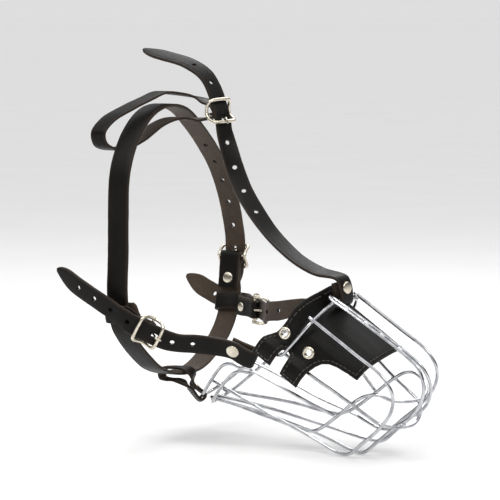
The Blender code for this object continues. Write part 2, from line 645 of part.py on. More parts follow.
def make_head():
    """The head strap, looped on the cage's top rear edge and buckled over the collar."""
    post = cage(*HEAD_POST)
    turn3 = cage_turn()
    lateral = turn3 @ Vector((0.12, 1, -0.12)).normalized()
    up = turn3 @ Vector((-0.45, 0, 0.9)).normalized()
    front = lateral.cross(up).normalized()
    clear = WIRE_R + WIRE_GAP + STRAP_T / 2
    loop = [post + up * 12.5 - front * 4.6, post + up * 7 - front * (clear + 0.4)]
    for turn in (180, 225, 270, 315, 360):
        angle = math.radians(turn)
        loop.append(post + front * clear * math.cos(angle) + up * clear * math.sin(angle))
    loop += [post + up * 6 + front * clear, post + up * 12 + front * 1.6, post + up * 16.5 - front * 1.6]
    frame = HEAD_BUCKLE
    bar_way = buckle_width(frame, FORWARD)
    stations = [(p, lateral) for p in loop]
    stations += [(Vector(p), Vector(a)) for p, a in zip(HEAD_RUN[::-1][1:], HEAD_ACROSS[::-1][1:])]
    stations += [(p, bar_way) for p in over_buckle(frame, STRAP_T, SHORT_T, ends=(13, -13))]
    stations += [(Vector(p), Vector(HEAD_FREE_ACROSS)) for p in HEAD_FREE]
    strap = ribbon("head_strap", stations, STRAP_W - 1.5, STRAP_T, tip=TIP_L)
    slot("head_hole_cutter", frame, HOLE_CUT, strap)
    rivet_on("head_strap_rivet", "head_strap", post + up * 9.3 + front * 2.3, front, HEAD_RIVET_R, STRAP_T)
    make_buckle("head", frame, STRAP_W / 2 + 2.2, strap_over(STRAP_T, SHORT_T) + END_RISE)


BY_BUCKLE, TURNING, BEHIND = (0.25, 0.95, 0.1), (-0.6, 0.75, 0), (-1, 0, 0)
HEAD_LOOP = [((-68, 9.5, 186.5), BY_BUCKLE), ((-78, 6, 190), TURNING), ((-86, -6, 192.5), BEHIND),
             ((-89, -22, 193.5), BEHIND), ((-92, -36, 189.5), BEHIND), ((-99, -51, 183), BEHIND),
             ((-107, -64, 175), BEHIND), ((-110.5, -71, 166), BEHIND), ((-110, -68, 157.5), BEHIND),
             ((-104, -57, 154), BEHIND), ((-96, -42, 160), BEHIND), ((-90, -24, 170.5), BEHIND),
             ((-86, -8, 174.5), BEHIND), ((-79, 4, 174), TURNING), ((-70, 9, 173.5), BY_BUCKLE)]


def make_head_loop():
    """The short head strap: folded round the top buckle's bar, its long slack loop holds the collar."""
    frame = HEAD_BUCKLE
    bar_way = buckle_width(frame, FORWARD)
    radius = fold_radius(SHORT_T)
    bend = [at(frame, x, z) for x, z in ((-7, -0.4), (-3.4, 0.8 * radius), (0, radius), (0.7 * radius, 0.7 * radius),
                                         (radius, 0), (0.85 * radius, -0.6 * radius), (1.4, -4.2))]
    stations = [(p, bar_way) for p in bend] + [(Vector(p), Vector(a)) for p, a in HEAD_LOOP[::-1]]
    strap = ribbon("head_buckle_strap", stations, SHORT_W - 1, SHORT_T, closed=True)
    slot("head_fold_cutter", frame, FOLD_CUT, strap)


CHIN_DOWN = (-0.3, 0.95, 0.1)           # across the strap where it turns down from the collar
CHIN_LOWER = [((-98.3, -5, -11), LEFT), ((-97.2, -5, -14.8), LEFT), ((-93, -4.5, -15.9), LEFT),
              ((-87, -3, -16.1), LEFT), ((-82.5, 0.5, -18.6), CHIN_DOWN)]
CHIN_UPPER = [((-76, 1.6, -12), (-0.15, 0.98, 0.1)), ((-78.4, -1, -7.9), (0, 1, 0.1)), ((-83, -2.5, -7), LEFT),
              ((-88, -3.5, -6.9), LEFT), ((-93, -4.5, -7.1), LEFT), ((-97.2, -5, -7.8), LEFT)]
CHIN_ENDS = (-62.4, -13.5, -130), (-66.6, -6.5, -139.6)   # the strap hangs between these on the rear rim
CHIN_SHARE = 0.62
CHIN_HANG = (0.48, 0.53, -0.70)
CHIN_GAP = 0.8


def make_chin():
    """The short strap that ties the collar's bottom to the rear rim's bottom."""
    first, second = [cage(*p) for p in CHIN_ENDS]
    post = first.lerp(second, CHIN_SHARE)
    rim_way = (second - first).normalized()
    down = Vector(CHIN_HANG).normalized()
    face = facing(down.cross(rim_way).normalized(), UP)
    ahead = facing(rim_way.cross(face), down)
    across = (rim_way - down * rim_way.dot(down)).normalized()
    clear = WIRE_R + CHIN_GAP + SHORT_T / 2
    loop = [(post - down * 10 - face * 1.6, across), (post - down * 4.5 - face * 2.5, rim_way + across)]
    for turn in (-80, -40, 0, 40, 80):
        angle = math.radians(turn)
        loop.append((post + (ahead * math.cos(angle) + face * math.sin(angle)) * clear, rim_way))
    loop += [(post - down * 4.5 + face * 2.5, rim_way + across), (post - down * 10 + face * 1.6, across)]
    stations = [(Vector(p), Vector(a)) for p, a in CHIN_LOWER] + loop
    stations += [(Vector(p), Vector(a)) for p, a in CHIN_UPPER]
    ribbon("chin_strap", stations, CHIN_W, SHORT_T, closed=True, step=4)
    rivet_on("chin_rivet", "chin_strap", post - down * 6.5 + face * 2, face, CHIN_RIVET_R, SHORT_T)


def main():
    clear_scene()
    make_cage()
    make_pad()
    make_neck()
    for name, data in CHEEKS.items():
        make_cheek(name, data)
    make_head()
    make_head_loop()
    make_chin()
    bpy.context.view_layer.update()


main()
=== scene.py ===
"""Looks of the wire basket muzzle: chromed wire, grained leather, nickel buckles, on a pale studio floor.

The points and seats repeat the part's own, in millimetres; every piece rides on the CAD body it belongs to.
"""
import json
import math

import bmesh
import bpy
import numpy as np
from mathutils import Matrix, Vector

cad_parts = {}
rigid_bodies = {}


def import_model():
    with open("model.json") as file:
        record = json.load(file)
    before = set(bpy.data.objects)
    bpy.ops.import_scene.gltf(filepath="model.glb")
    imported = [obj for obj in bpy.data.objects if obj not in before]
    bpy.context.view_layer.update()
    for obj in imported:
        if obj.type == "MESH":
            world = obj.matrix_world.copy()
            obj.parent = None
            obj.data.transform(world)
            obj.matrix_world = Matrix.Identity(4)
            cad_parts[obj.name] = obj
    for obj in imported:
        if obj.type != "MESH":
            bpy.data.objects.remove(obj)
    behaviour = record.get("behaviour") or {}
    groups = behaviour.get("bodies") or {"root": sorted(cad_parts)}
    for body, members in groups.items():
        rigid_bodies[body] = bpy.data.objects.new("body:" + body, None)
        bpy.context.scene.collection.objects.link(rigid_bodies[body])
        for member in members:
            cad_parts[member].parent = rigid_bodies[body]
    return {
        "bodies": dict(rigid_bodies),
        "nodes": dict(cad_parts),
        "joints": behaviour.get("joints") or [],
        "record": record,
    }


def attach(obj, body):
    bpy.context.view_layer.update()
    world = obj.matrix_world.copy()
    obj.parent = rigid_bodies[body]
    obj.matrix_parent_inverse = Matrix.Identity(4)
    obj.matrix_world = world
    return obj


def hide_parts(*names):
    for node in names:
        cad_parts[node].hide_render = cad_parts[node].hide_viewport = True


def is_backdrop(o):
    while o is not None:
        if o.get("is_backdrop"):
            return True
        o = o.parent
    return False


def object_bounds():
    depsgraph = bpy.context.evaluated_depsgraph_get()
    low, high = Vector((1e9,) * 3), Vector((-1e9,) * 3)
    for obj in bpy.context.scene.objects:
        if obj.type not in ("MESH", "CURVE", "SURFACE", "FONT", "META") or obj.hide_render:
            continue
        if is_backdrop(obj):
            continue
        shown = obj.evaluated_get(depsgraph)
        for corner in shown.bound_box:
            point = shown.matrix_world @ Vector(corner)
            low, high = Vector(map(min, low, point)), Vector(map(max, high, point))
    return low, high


for stale in list(bpy.data.objects):
    bpy.data.objects.remove(stale)
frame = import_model()
cad_box = [list(corner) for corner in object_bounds()]
ROOT = "muzzle"
MM = 0.001

# Cage
WIRE_R = 1.2
WIRE_STEP = 2.4  # a wire's stations lie this far apart, or nearer where it turns by WIRE_TURN degrees
WIRE_TURN = 5
WIRE_SIDES = 16
CAGE_PITCH = math.radians(34.4)
CAGE_ROLL = math.radians(17.07)
CAGE_ORIGIN = Vector((-20, 0, -70))  # the point of the cage that lies at the model's origin
WELD_REACH = 3.3  # wires whose middles come closer than this are welded
WELD_APART = 14  # least distance between two welds of the same wires
WELD_SIZE = (2.3, 1.25, 1.75)
FAR = 99
SPAN_SAMPLES = 30  # samples of a curve between two of its points

# Leather
STRAP_T = 2.2
STRAP_W = 14.5
SHORT_T = 1.8
SHORT_W = 13
CHIN_W = 10
NECK_T = 2.4
NECK_W = 16.5
PAD_T = 2.2
LINING_T = 1.4
LINING_GAP = 0.75
TIP_L = 16  # length of a strap's pointed end
WIRE_GAP = 0.6  # leather to the wire that it is looped on
COLLAR_IN = 2.1  # collar's inner face to the short strap round it
COLLAR_OUT = 1.1  # collar's outer face to the same strap
COLLAR_EDGE = 1.0
STRAP_SIDES = [0] * 9 + [1] * 2 + [2] * 5 + [1] * 3  # the material of each side of a strap's cut
HOLE_R = 1.7
HOLE_SIDES = 20
HOLE_FROM_START, HOLE_FROM_END = 4, 6  # no hole is punched nearer to a strap's ends
KNIFE_REACH = 1.9  # height of a knife on each side of the strap's middle
# Punched holes, as distances along each strap from its prong
NECK_HOLES = (-95, -76, -57, -38, -19, 19)
CHEEK_HOLES = (-29, -14.5, 20.5, 35, 49.5, 64)
HEAD_HOLES = (-76, -57, -38, -19, 27, 46)
STITCH_INSET = 2.6
STITCH_PITCH = 3.1
STITCH_SPACE = 0.75
# One stitch: (share of its length, rise over the leather), sunk at both ends, and its radii
STITCH_BEND = [(-0.5, -0.35), (-0.38, 0.08), (-0.18, 0.24), (0.18, 0.24), (0.38, 0.08), (0.5, -0.35)]
STITCH_RADII = [0.3, 0.4, 0.46, 0.46, 0.4, 0.3]
PAD_CELL = 1.1  # size of a cell of the pad's mesh
EDGE_ROUND = 0.9  # width of a pad sheet's rounded edge

# Rivets and eyelets
NECK_RIVET_R = 4.1
CHEEK_RIVET_R = 4.7
HEAD_RIVET_R = 4.4
SHORT_RIVET_R = 3.6
CHIN_RIVET_R = 3.0
RIVET_RISE = 0.15
CAP_H = 1.35  # height of a rivet's cap
TURNED_SIDES = 40
EYELET_HOLE_R = 2.5
EYELET_S = 38.0  # distance of the eyelets round the pad's bow from its middle
EYELET_X = {"rear": -15.5, "front": 7}
EYELET_ROWS = [
    (2.35, -1.9), (2.35, 0.2), (2.5, 0.75), (3.0, 1.05), (3.7, 1.0), (4.3, 0.7), (4.55, 0.25), (4.5, 0),
    (2.9, 0.05), (2.75, -1.9),
]

# Buckles
BAR_R = 1.1
RING_R = 1.25
RING_HALF_L = 8.2  # centre bar to end bar
RING_CORNER = 3.0
END_RISE = 2.2  # end bars above the strap's middle over the centre bar
PRONG_R = 0.8
EYE_GAP = 0.35  # prong's curl to the centre bar
EYE_R = BAR_R + EYE_GAP + PRONG_R
BAR_GAP = 0.35  # folded leather to the centre bar
FOLD_GAP = 0.55  # folded strap to the strap passing over it
END_GAP = 0.6  # strap to the end bars that it passes under
REST_GAP = 0.3  # resting prong to the end bar
LUG_SIZE = (1.75, 1.45, 1.5)  # swelling of the frame where the centre bar joins it
PRONG_X = 4.4  # where the prong goes through the strap, in the buckle's frame
PRONG_Z = 4.4
NECK_PRONG_Z = 4.8

# Studio, in metres and degrees
FLOOR_R = 60
CAMERA_AZIMUTH = 29
CAMERA_ELEVATION = 5
CAMERA_DISTANCE = 1.984
CAMERA_TARGET = Vector((-24.5, -5.4, 81.7)) * MM
CAMERA_LENS = 200
LIGHT_TARGET = (0, 0, 0.06)
# Light at the horizon like the floor, a dark band over it for the streaks in the chrome, and bright above
WORLD_BANDS = [
    (0.0, (0.73, 0.73, 0.73)), (0.05, (0.73, 0.73, 0.73)), (0.13, (0.10, 0.10, 0.105)),
    (0.40, (0.13, 0.13, 0.135)), (0.52, (1.15, 1.15, 1.15)), (0.80, (1.25, 1.25, 1.25)),
    (1.0, (0.75, 0.75, 0.75)),
]

FORWARD = Vector((1, 0, 0))
LEFT = Vector((0, 1, 0))
UP = Vector((0, 0, 1))


def cage_turn():
    """The way the cage hangs: nose down and a little rolled."""
    return Matrix.Rotation(CAGE_PITCH, 3, "Y") @ Matrix.Rotation(CAGE_ROLL, 3, "X")


def cage(x, y, z):
    """A point of the cage, in the model's axes."""
    return cage_turn() @ (Vector((x, y, z)) - CAGE_ORIGIN)


def mirrored(points, side):
    """Cage points of the right side (side -1) or the left side (side +1) in the model's axes."""
    return [cage(x, side * y, z) for x, y, z in points]


def seat(place, along, out):
    """A frame on a strap: x along it, z out of its face."""
    along = Vector(along).normalized()
    out = Vector(out)
    out = (out - along * out.dot(along)).normalized()
    turn = Matrix((along, out.cross(along), out)).transposed()
    return Matrix.Translation(Vector(place)) @ turn.to_4x4()


def at(frame, x, z):
    """A point in the middle of a strap: x along it and z out of its face."""
    return frame @ Vector((x, 0, z))


def facing(vector, way):
    """The vector or its opposite, whichever leans along the given way."""
    return vector if vector.dot(way) > 0 else -vector


def arc(centre, first, second, radius, turns):
    """Points round a centre, turned by degrees from the first direction toward the second."""
    points = []
    for turn in turns:
        angle = math.radians(turn)
        points.append(centre + first * radius * math.cos(angle) + second * radius * math.sin(angle))
    return points


# Materials


def nodes_of(name):
    """A new material, its tree and its shader."""
    mat = bpy.data.materials.new(name)
    mat.use_nodes = True
    return mat, mat.node_tree, mat.node_tree.nodes["Principled BSDF"]


def texture(tree, kind, scale, detail=3.0, rough=0.55, stretch=None):
    """A procedural texture in the object's own metres."""
    out = tree.nodes.new("ShaderNodeTexCoord").outputs["Object"]
    if stretch:
        mapping = tree.nodes.new("ShaderNodeMapping")
        mapping.inputs["Scale"].default_value = stretch
        tree.links.new(out, mapping.inputs["Vector"])
        out = mapping.outputs["Vector"]
    node = tree.nodes.new("ShaderNodeTex" + kind)
    node.inputs["Scale"].default_value = scale
    tree.links.new(out, node.inputs["Vector"])
    if kind == "Voronoi":
        return node.outputs["Distance"]
    node.inputs["Detail"].default_value = detail
    node.inputs["Roughness"].default_value = rough
    return node.outputs["Fac"]


def ramp(tree, factor, stops):
    """A colour ramp through rows of (position, colour)."""
    node = tree.nodes.new("ShaderNodeValToRGB")
    elements = node.color_ramp.elements
    for element, (position, colour) in zip((elements[0], elements[-1]), (stops[0], stops[-1])):
        element.position = position
        element.color = (*colour, 1)
    for position, colour in stops[1:-1]:
        elements.new(position).color = (*colour, 1)
    tree.links.new(factor, node.inputs["Fac"])
    return node.outputs["Color"]


def span(tree, factor, low, high):
    """A factor of 0 to 1 stretched to run from low to high."""
    node = tree.nodes.new("ShaderNodeMapRange")
    node.inputs["To Min"].default_value = low
    node.inputs["To Max"].default_value = high
    tree.links.new(factor, node.inputs["Value"])
    return node.outputs["Result"]


def bump(tree, heights):
    """Bumps stacked from rows of (height socket, strength, distance in metres)."""
    normal = None
    for height, strength, distance in heights:
        node = tree.nodes.new("ShaderNodeBump")
        node.inputs["Strength"].default_value = strength
        node.inputs["Distance"].default_value = distance
        tree.links.new(height, node.inputs["Height"])
        if normal:
            tree.links.new(normal, node.inputs["Normal"])
        normal = node.outputs["Normal"]
    return normal


def product(tree, first, second):
    """Two values multiplied."""
    node = tree.nodes.new("ShaderNodeMath")
    node.operation = "MULTIPLY"
    tree.links.new(first, node.inputs[0])
    tree.links.new(second, node.inputs[1])
    return node.outputs["Value"]


def feed(tree, shader, sockets):
    """Links each output to the shader's input of that name."""
    for name, output in sockets.items():
        tree.links.new(output, shader.inputs[name])


def leather(name, dark, light, worn, roughness, grain=1.0):
    """Grained leather: pebbled bumps, fine pores, cloudy colour and lighter worn edges."""
    mat, tree, shader = nodes_of(name)
    pebble = texture(tree, "Voronoi", 1150)
    pores = texture(tree, "Noise", 3200, 4)
    cloud = texture(tree, "Noise", 55, 5, 0.6)
    scuff = texture(tree, "Noise", 420, 5, 0.7)
    edge = tree.nodes.new("ShaderNodeAttribute")
    edge.attribute_name = "worn"
    mix = tree.nodes.new("ShaderNodeMixRGB")
    tree.links.new(product(tree, edge.outputs["Fac"], span(tree, scuff, 0.1, 0.95)), mix.inputs["Fac"])
    tree.links.new(ramp(tree, cloud, [(0.3, dark), (0.72, light)]), mix.inputs["Color1"])
    mix.inputs["Color2"].default_value = (*worn, 1)
    shader.inputs["Specular IOR Level"].default_value = 0.15
    feed(tree, shader, {
        "Base Color": mix.outputs["Color"],
        "Roughness": span(tree, scuff, roughness - 0.1, roughness + 0.14),
        "Normal": bump(tree, [(pebble, 0.35 * grain, 0.00022), (pores, 0.25 * grain, 0.00010),
                              (cloud, 0.25, 0.0006)])})
    return mat


def flesh(name, dark, light):
    """The raw back of the leather: brown, matt and fibrous."""
    mat, tree, shader = nodes_of(name)
    fibre = texture(tree, "Noise", 900, 8, 0.75)
    cloud = texture(tree, "Noise", 90, 5, 0.6)
    mottle = product(tree, fibre, span(tree, cloud, 0.7, 1.5))
    shader.inputs["Roughness"].default_value = 0.82
    shader.inputs["Sheen Weight"].default_value = 0.15
    feed(tree, shader, {"Base Color": ramp(tree, mottle, [(0.35, dark), (0.8, light)]),
                        "Normal": bump(tree, [(fibre, 0.6, 0.0003)])})
    return mat


def metal(name, dark, light, rough_low, rough_high, ripple):
    """Plated metal: faint clouding, fine polishing marks and tiny pits."""
    mat, tree, shader = nodes_of(name)
    cloud = texture(tree, "Noise", 130, 6, 0.6)
    marks = texture(tree, "Noise", 900, 3, 0.6, (1, 5, 1))
    shader.inputs["Metallic"].default_value = 1.0
    feed(tree, shader, {"Base Color": ramp(tree, cloud, [(0.32, dark), (0.6, light)]),
                        "Roughness": span(tree, marks, rough_low, rough_high),
                        "Normal": bump(tree, [(marks, 0.12, 0.00005), (cloud, ripple, 0.0004)])})
    return mat


CHROME = metal("chrome_plate", (0.34, 0.35, 0.37), (0.62, 0.63, 0.65), 0.05, 0.15, 0.12)
NICKEL = metal("nickel_plate", (0.50, 0.45, 0.36), (0.76, 0.70, 0.59), 0.16, 0.36, 0.15)
WELD = metal("weld_metal", (0.40, 0.40, 0.41), (0.68, 0.68, 0.70), 0.2, 0.42, 0.5)
GRAIN = leather("black_grain", (0.0016, 0.0013, 0.0010), (0.0052, 0.0041, 0.0032), (0.036, 0.026, 0.018),
                0.40)
PAD_GRAIN = leather("pad_grain", (0.0016, 0.0014, 0.0011), (0.0050, 0.0042, 0.0034), (0.034, 0.027, 0.021),
                    0.42, 1.3)
EDGE = leather("burnished_edge", (0.005, 0.0038, 0.003), (0.016, 0.011, 0.0075), (0.045, 0.030, 0.019),
              0.36, 0.4)
FLESH = flesh("flesh_side", (0.016, 0.0092, 0.0045), (0.070, 0.041, 0.020))
LINING_SKIN = leather("lining_skin", (0.013, 0.011, 0.009), (0.032, 0.026, 0.021), (0.05, 0.04, 0.03),
                      0.62, 1.5)
THREAD = leather("waxed_thread", (0.030, 0.028, 0.025), (0.085, 0.078, 0.068), (0.12, 0.11, 0.10), 0.45, 0.6)


# Shapes


def between(p, q, t, start, end):
    """The point at t on the line that is at p at the start and at q at the end."""
    return p * (end - t) / (end - start) + q * (t - start) / (end - start)


def smooth(points, step, closed=False, turn=7.0):
    """Stations along a smooth curve through rows of numbers; the first three are the place."""
    rows = np.array([list(p) for p in points], float)
    count = len(rows)
    if closed:
        rows = np.vstack([rows[-1], rows, rows[0], rows[1]])
    else:
        rows = np.vstack([2 * rows[0] - rows[1], rows, 2 * rows[-1] - rows[-2]])
    dense = []
    for i in range(count if closed else count - 1):
        p0, p1, p2, p3 = rows[i:i + 4]
        t1, t2, t3 = np.cumsum([max(np.linalg.norm((q - p)[:3]), 1e-6) ** 0.5
                                for p, q in ((p0, p1), (p1, p2), (p2, p3))])
        for t in np.linspace(t1, t2, SPAN_SAMPLES, endpoint=False):
            a2 = between(p1, p2, t, t1, t2)
            b1 = between(between(p0, p1, t, 0, t1), a2, t, 0, t2)
            b2 = between(a2, between(p2, p3, t, t2, t3), t, t1, t3)
            dense.append(between(b1, b2, t, t1, t2))
    dense.append(dense[0] if closed else rows[-2])
    dense = np.array(dense)
    moves = np.diff(dense[:, :3], axis=0)
    lengths = np.maximum(np.linalg.norm(moves, axis=1), 1e-9)
    headings = moves / lengths[:, None]
    least = math.cos(math.radians(turn))
    kept = [0]
    for i in range(1, len(dense) - 1):
        gone = lengths[kept[-1]:i].sum()
        if gone >= step or (headings[kept[-1]] @ headings[i] < least and gone >= 0.3):
            kept.append(i)
    if lengths[kept[-1]:].sum() < 0.4 * step and len(kept) > 3:
        kept.pop()
    if not closed:
        kept.append(len(dense) - 1)
    return dense[kept]


def unit_rows(rows):
    """Each row as a direction."""
    return rows / np.linalg.norm(rows, axis=1)[:, None]


def distances_along(places):
    """The distance of each station from the first, along the way."""
    return np.concatenate([[0], np.cumsum(np.linalg.norm(np.diff(places, axis=0), axis=1))])


def nearest_row(places, near):
    """The index of the station nearest a point."""
    return np.linalg.norm(places - np.array(near), axis=1).argmin()


def finish_mesh(name, mesh, mats, body, nodes=(), sharp=38):
    """An object of the mesh, with its materials, the CAD nodes it stands for and its body."""
    obj = bpy.data.objects.new(name, mesh)
    if not mesh.materials:
        for mat in mats:
            mesh.materials.append(mat)
    mesh.shade_smooth()
    mesh.set_sharp_from_angle(angle=math.radians(sharp))
    bpy.context.scene.collection.objects.link(obj)
    if nodes:
        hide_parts(*nodes)
    if body:
        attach(obj, body)
    return obj


def mesh_from(parts):
    """The mesh of a finished bmesh, its faces all turned outward."""
    bmesh.ops.recalc_face_normals(parts, faces=parts.faces)
    mesh = bpy.data.meshes.new("mesh")
    parts.to_mesh(mesh)
    parts.free()
    return mesh


def skin(parts, rings, mats=None):
    """Quads between each ring of vertices and the next; mats gives each side's material."""
    for first, second in zip(rings, rings[1:]):
        for k in range(len(first)):
            after = (k + 1) % len(first)
            face = parts.faces.new((first[k], first[after], second[after], second[k]))
            if mats:
                face.material_index = mats[k]


def blob(parts, place, size, shift=(0, 0, 0), lump=None):
    """An egg of three half sizes in a seat, swelled by a function of the place on it."""
    for vert in bmesh.ops.create_icosphere(parts, subdivisions=3, radius=1)["verts"]:
        co = Vector([a * b for a, b in zip(vert.co, size)]) * (lump(vert.co) if lump else 1)
        vert.co = (place @ (co + Vector(shift))) * MM


def tube_into(parts, path, radii, sides=14, closed=False):
    """A round rod with frames carried along the path, and domed ends."""
    path = [Vector(p) for p in path]
    radii = list(radii) if hasattr(radii, "__len__") else [radii] * len(path)
    if not closed:
        first, last = (path[0] - path[1]).normalized(), (path[-1] - path[-2]).normalized()
        r0, r1 = radii[0], radii[-1]
        path = [path[0] + first * r0 * 0.5, path[0] + first * r0 * 0.3] + path
        path += [path[-1] + last * r1 * 0.3, path[-1] + last * r1 * 0.5]
        radii = [r0 * 0.45, r0 * 0.8] + radii + [r1 * 0.8, r1 * 0.45]
    count = len(path)
    side = None
    rings = []
    for i in range(count):
        ahead = path[(i + 1) % count] if closed or i + 1 < count else path[i]
        behind = path[i - 1] if closed or i else path[i]
        way = (ahead - behind).normalized()
        if side is None:
            side = way.cross(Vector((0.3, 0.2, 0.93))).normalized()
        side = (side - way * side.dot(way)).normalized()
        other = way.cross(side)
        ring = []
        for k in range(sides):
            angle = 2 * math.pi * k / sides
            place = path[i] + (side * math.cos(angle) + other * math.sin(angle)) * radii[i]
            ring.append(parts.verts.new(place * MM))
        rings.append(ring)
    skin(parts, rings)
    if closed:
        # The last ring is turned to meet the first with the least twist.
        gaps = [sum((a.co - rings[-1][(k + s) % sides].co).length for k, a in enumerate(rings[0]))
                for s in range(sides)]
        shift = gaps.index(min(gaps))
        skin(parts, [rings[-1][shift:] + rings[-1][:shift], rings[0]])
    else:
        parts.faces.new(rings[0])
        parts.faces.new(rings[-1][::-1])


def rod(name, path, radii, body, mat, nodes=(), sides=14, closed=False):
    """A round rod as a piece of its own."""
    parts = bmesh.new()
    tube_into(parts, path, radii, sides, closed)
    return finish_mesh(name, mesh_from(parts), [mat], body, nodes)


def section(width, thickness):
    """Points round a strap's cut: creased grain face, rounded burnished edges and a flat flesh face."""
    h, t = width / 2, thickness / 2
    top = [(-h + 0.30, 0.88 * t, 0.9), (-h + 0.8, t, 0.55), (-h + 1.35, t - 0.14, 0.35), (-h + 1.9, t, 0.1),
           (-h * 0.4, t + 0.06, 0), (h * 0.4, t + 0.06, 0), (h - 1.9, t, 0.1), (h - 1.35, t - 0.14, 0.35),
           (h - 0.8, t, 0.55), (h - 0.30, 0.88 * t, 0.9)]
    edge = [(h, 0.4 * t, 0.7), (h, -0.4 * t, 0.7)]
    bottom = [(h - 0.30, -0.92 * t, 0.4), (h - 0.9, -t, 0.1), (0, -t, 0), (-h + 0.9, -t, 0.1),
              (-h + 0.30, -0.92 * t, 0.4)]
    return top + edge + bottom + [(-h, -0.4 * t, 0.7), (-h, 0.4 * t, 0.7)]


STRAPS = {}


def strap_frames(stations, step, closed=False):
    """Rows along a strap: places, the ways along, across and out of a face, squareness and distances."""
    path = smooth([(*place, *across) for place, across in stations], step, closed)
    places = path[:, :3]
    if closed:
        along = np.roll(places, -1, axis=0) - np.roll(places, 1, axis=0)
    else:
        along = np.gradient(places, axis=0)
    along, across = unit_rows(along), unit_rows(path[:, 3:])
    normal = np.cross(along, across)
    square = np.linalg.norm(normal, axis=1)
    return places, along, across, normal / square[:, None], square, distances_along(places)


def punch(name, mesh, cuts):
    """The mesh with holes through it, from rows of (place, way, out, radius, half the straight length)."""
    cutter = bmesh.new()
    for place, way, out, radius, half_long in cuts:
        side = out.cross(way).normalized()
        low, high = [], []
        for k in range(HOLE_SIDES):
            angle = 2 * math.pi * k / HOLE_SIDES
            shift = way * (math.copysign(half_long, math.cos(angle)) + radius * math.cos(angle))
            spot = place + shift + side * radius * math.sin(angle)
            low.append(cutter.verts.new((spot - out * KNIFE_REACH) * MM))
            high.append(cutter.verts.new((spot + out * KNIFE_REACH) * MM))
        skin(cutter, [low, high])
        cutter.faces.new(low)
        cutter.faces.new(high)
    whole = finish_mesh(name, mesh, [GRAIN, EDGE, FLESH], None)
    knife = finish_mesh(name + "_knife", mesh_from(cutter), [EDGE], None)
    modifier = whole.modifiers.new("holes", "BOOLEAN")
    modifier.operation = "DIFFERENCE"
    modifier.solver = "EXACT"
    modifier.object = knife
    bpy.context.view_layer.update()
    mesh = bpy.data.meshes.new_from_object(whole.evaluated_get(bpy.context.evaluated_depsgraph_get()))
    bpy.data.objects.remove(knife)
    bpy.data.objects.remove(whole)
    return mesh


def strap(name, stations, width, thickness, closed=False, tip=0, toward=None, near=None, cuts=(), step=2.2):
    """A leather strap: grain outside, flesh inside, burnished edges, punched holes and prong slots."""
    places, along, across, normal, square, run = strap_frames(stations, step, closed)
    if toward is None:
        sign = 1 if np.sum(normal * (places - places.mean(axis=0))) > 0 else -1
    else:
        sign = 1 if normal[nearest_row(places, near)] @ np.array(toward) > 0 else -1
    STRAPS[name] = run, places, along, normal * sign
    left = run[-1] - run
    cut = section(width, thickness)
    parts = bmesh.new()
    worn = parts.verts.layers.float.new("worn")
    rings = []
    for i in range(len(places)):
        # The width holds where the way across isn't square. The tip narrows, and the edges wander a little.
        grow = 1 / max(square[i], 0.85)
        if tip and left[i] < tip:
            grow *= 0.16 + 0.84 * math.sin(0.5 * math.pi * min(1, left[i] / tip)) ** 0.8
        wander = 1 + 0.006 * math.sin(0.21 * run[i]) + 0.004 * math.sin(0.53 * run[i] + 1)
        ring = []
        for a, b, wear in cut:
            place = places[i] + across[i] * a * grow * wander + normal[i] * sign * b
            vert = parts.verts.new(place * MM)
            vert[worn] = wear
            ring.append(vert)
        rings.append(ring)
    skin(parts, rings + rings[:1] if closed else rings, STRAP_SIDES)
    if not closed:
        for ring in (rings[0], rings[-1][::-1]):
            parts.faces.new(ring).material_index = 1
    mesh = mesh_from(parts)
    if cuts:
        mesh = punch(name, mesh, cuts)
    return finish_mesh(name + "_leather", mesh, [GRAIN, EDGE, FLESH], ROOT, [name])


def spot_on(distance, run, places, along, out):
    """Place, direction and outward face at a distance along a strap's rows."""
    spot, way, face = [Vector([np.interp(distance, run, rows[:, k]) for k in range(3)])
                       for rows in (places, along, out)]
    return spot, way.normalized(), face.normalized()


def on_strap(name, near):
    """Place, direction and outward face of a strap at its station nearest a point."""
    run, places, along, out = STRAPS[name]
    return spot_on(run[nearest_row(places, near)], run, places, along, out)


def punched(stations, offsets, near):
    """Cuts for round holes at distances from the station nearest a point."""
    places, along, _, out, _, run = strap_frames(stations, 1.0)
    start = run[nearest_row(places, near)]
    return [(*spot_on(start + offset, run, places, along, out), HOLE_R, 0) for offset in offsets
            if HOLE_FROM_START < start + offset < run[-1] - HOLE_FROM_END]


def turned(name, profile, frame_at, nodes, ring=False):
    """A turned nickel piece on a seat from rows of (radius, height)."""
    parts = bmesh.new()
    rings = []
    for radius, height in profile:
        circle = []
        for k in range(TURNED_SIDES):
            angle = 2 * math.pi * k / TURNED_SIDES
            spot = frame_at @ Vector((radius * math.cos(angle), radius * math.sin(angle), height))
            circle.append(parts.verts.new(spot * MM))
        rings.append(circle)
    if not ring:
        parts.faces.new(rings[0])
        parts.faces.new(rings[-1])
    skin(parts, rings + rings[:1] if ring else rings)
    return finish_mesh(name, mesh_from(parts), [NICKEL], ROOT, nodes)


def dome(radius):
    """The rows of a rivet's domed cap."""
    rows = [(radius * 0.93, -0.35), (radius, 0.05), (radius * 0.995, 0.35)]
    for k in range(1, 9):
        angle = math.radians(10 * k)
        rows.append((radius * (0.97 * math.cos(angle) + 0.02), 0.35 + (CAP_H - 0.35) * math.sin(angle)))
    return rows + [(radius * 0.05, CAP_H)]


def rivet(name, strap_name, near, toward, radius, thickness, nodes):
    """A domed cap pressed on a strap's face."""
    spot, way, face = on_strap(strap_name, near)
    face = facing(face, Vector(toward))
    place = seat(spot + face * (thickness / 2 + RIVET_RISE), way, face)
    turned(name, dome(radius), place, nodes)


# Cage: points in its own axes, on its left side

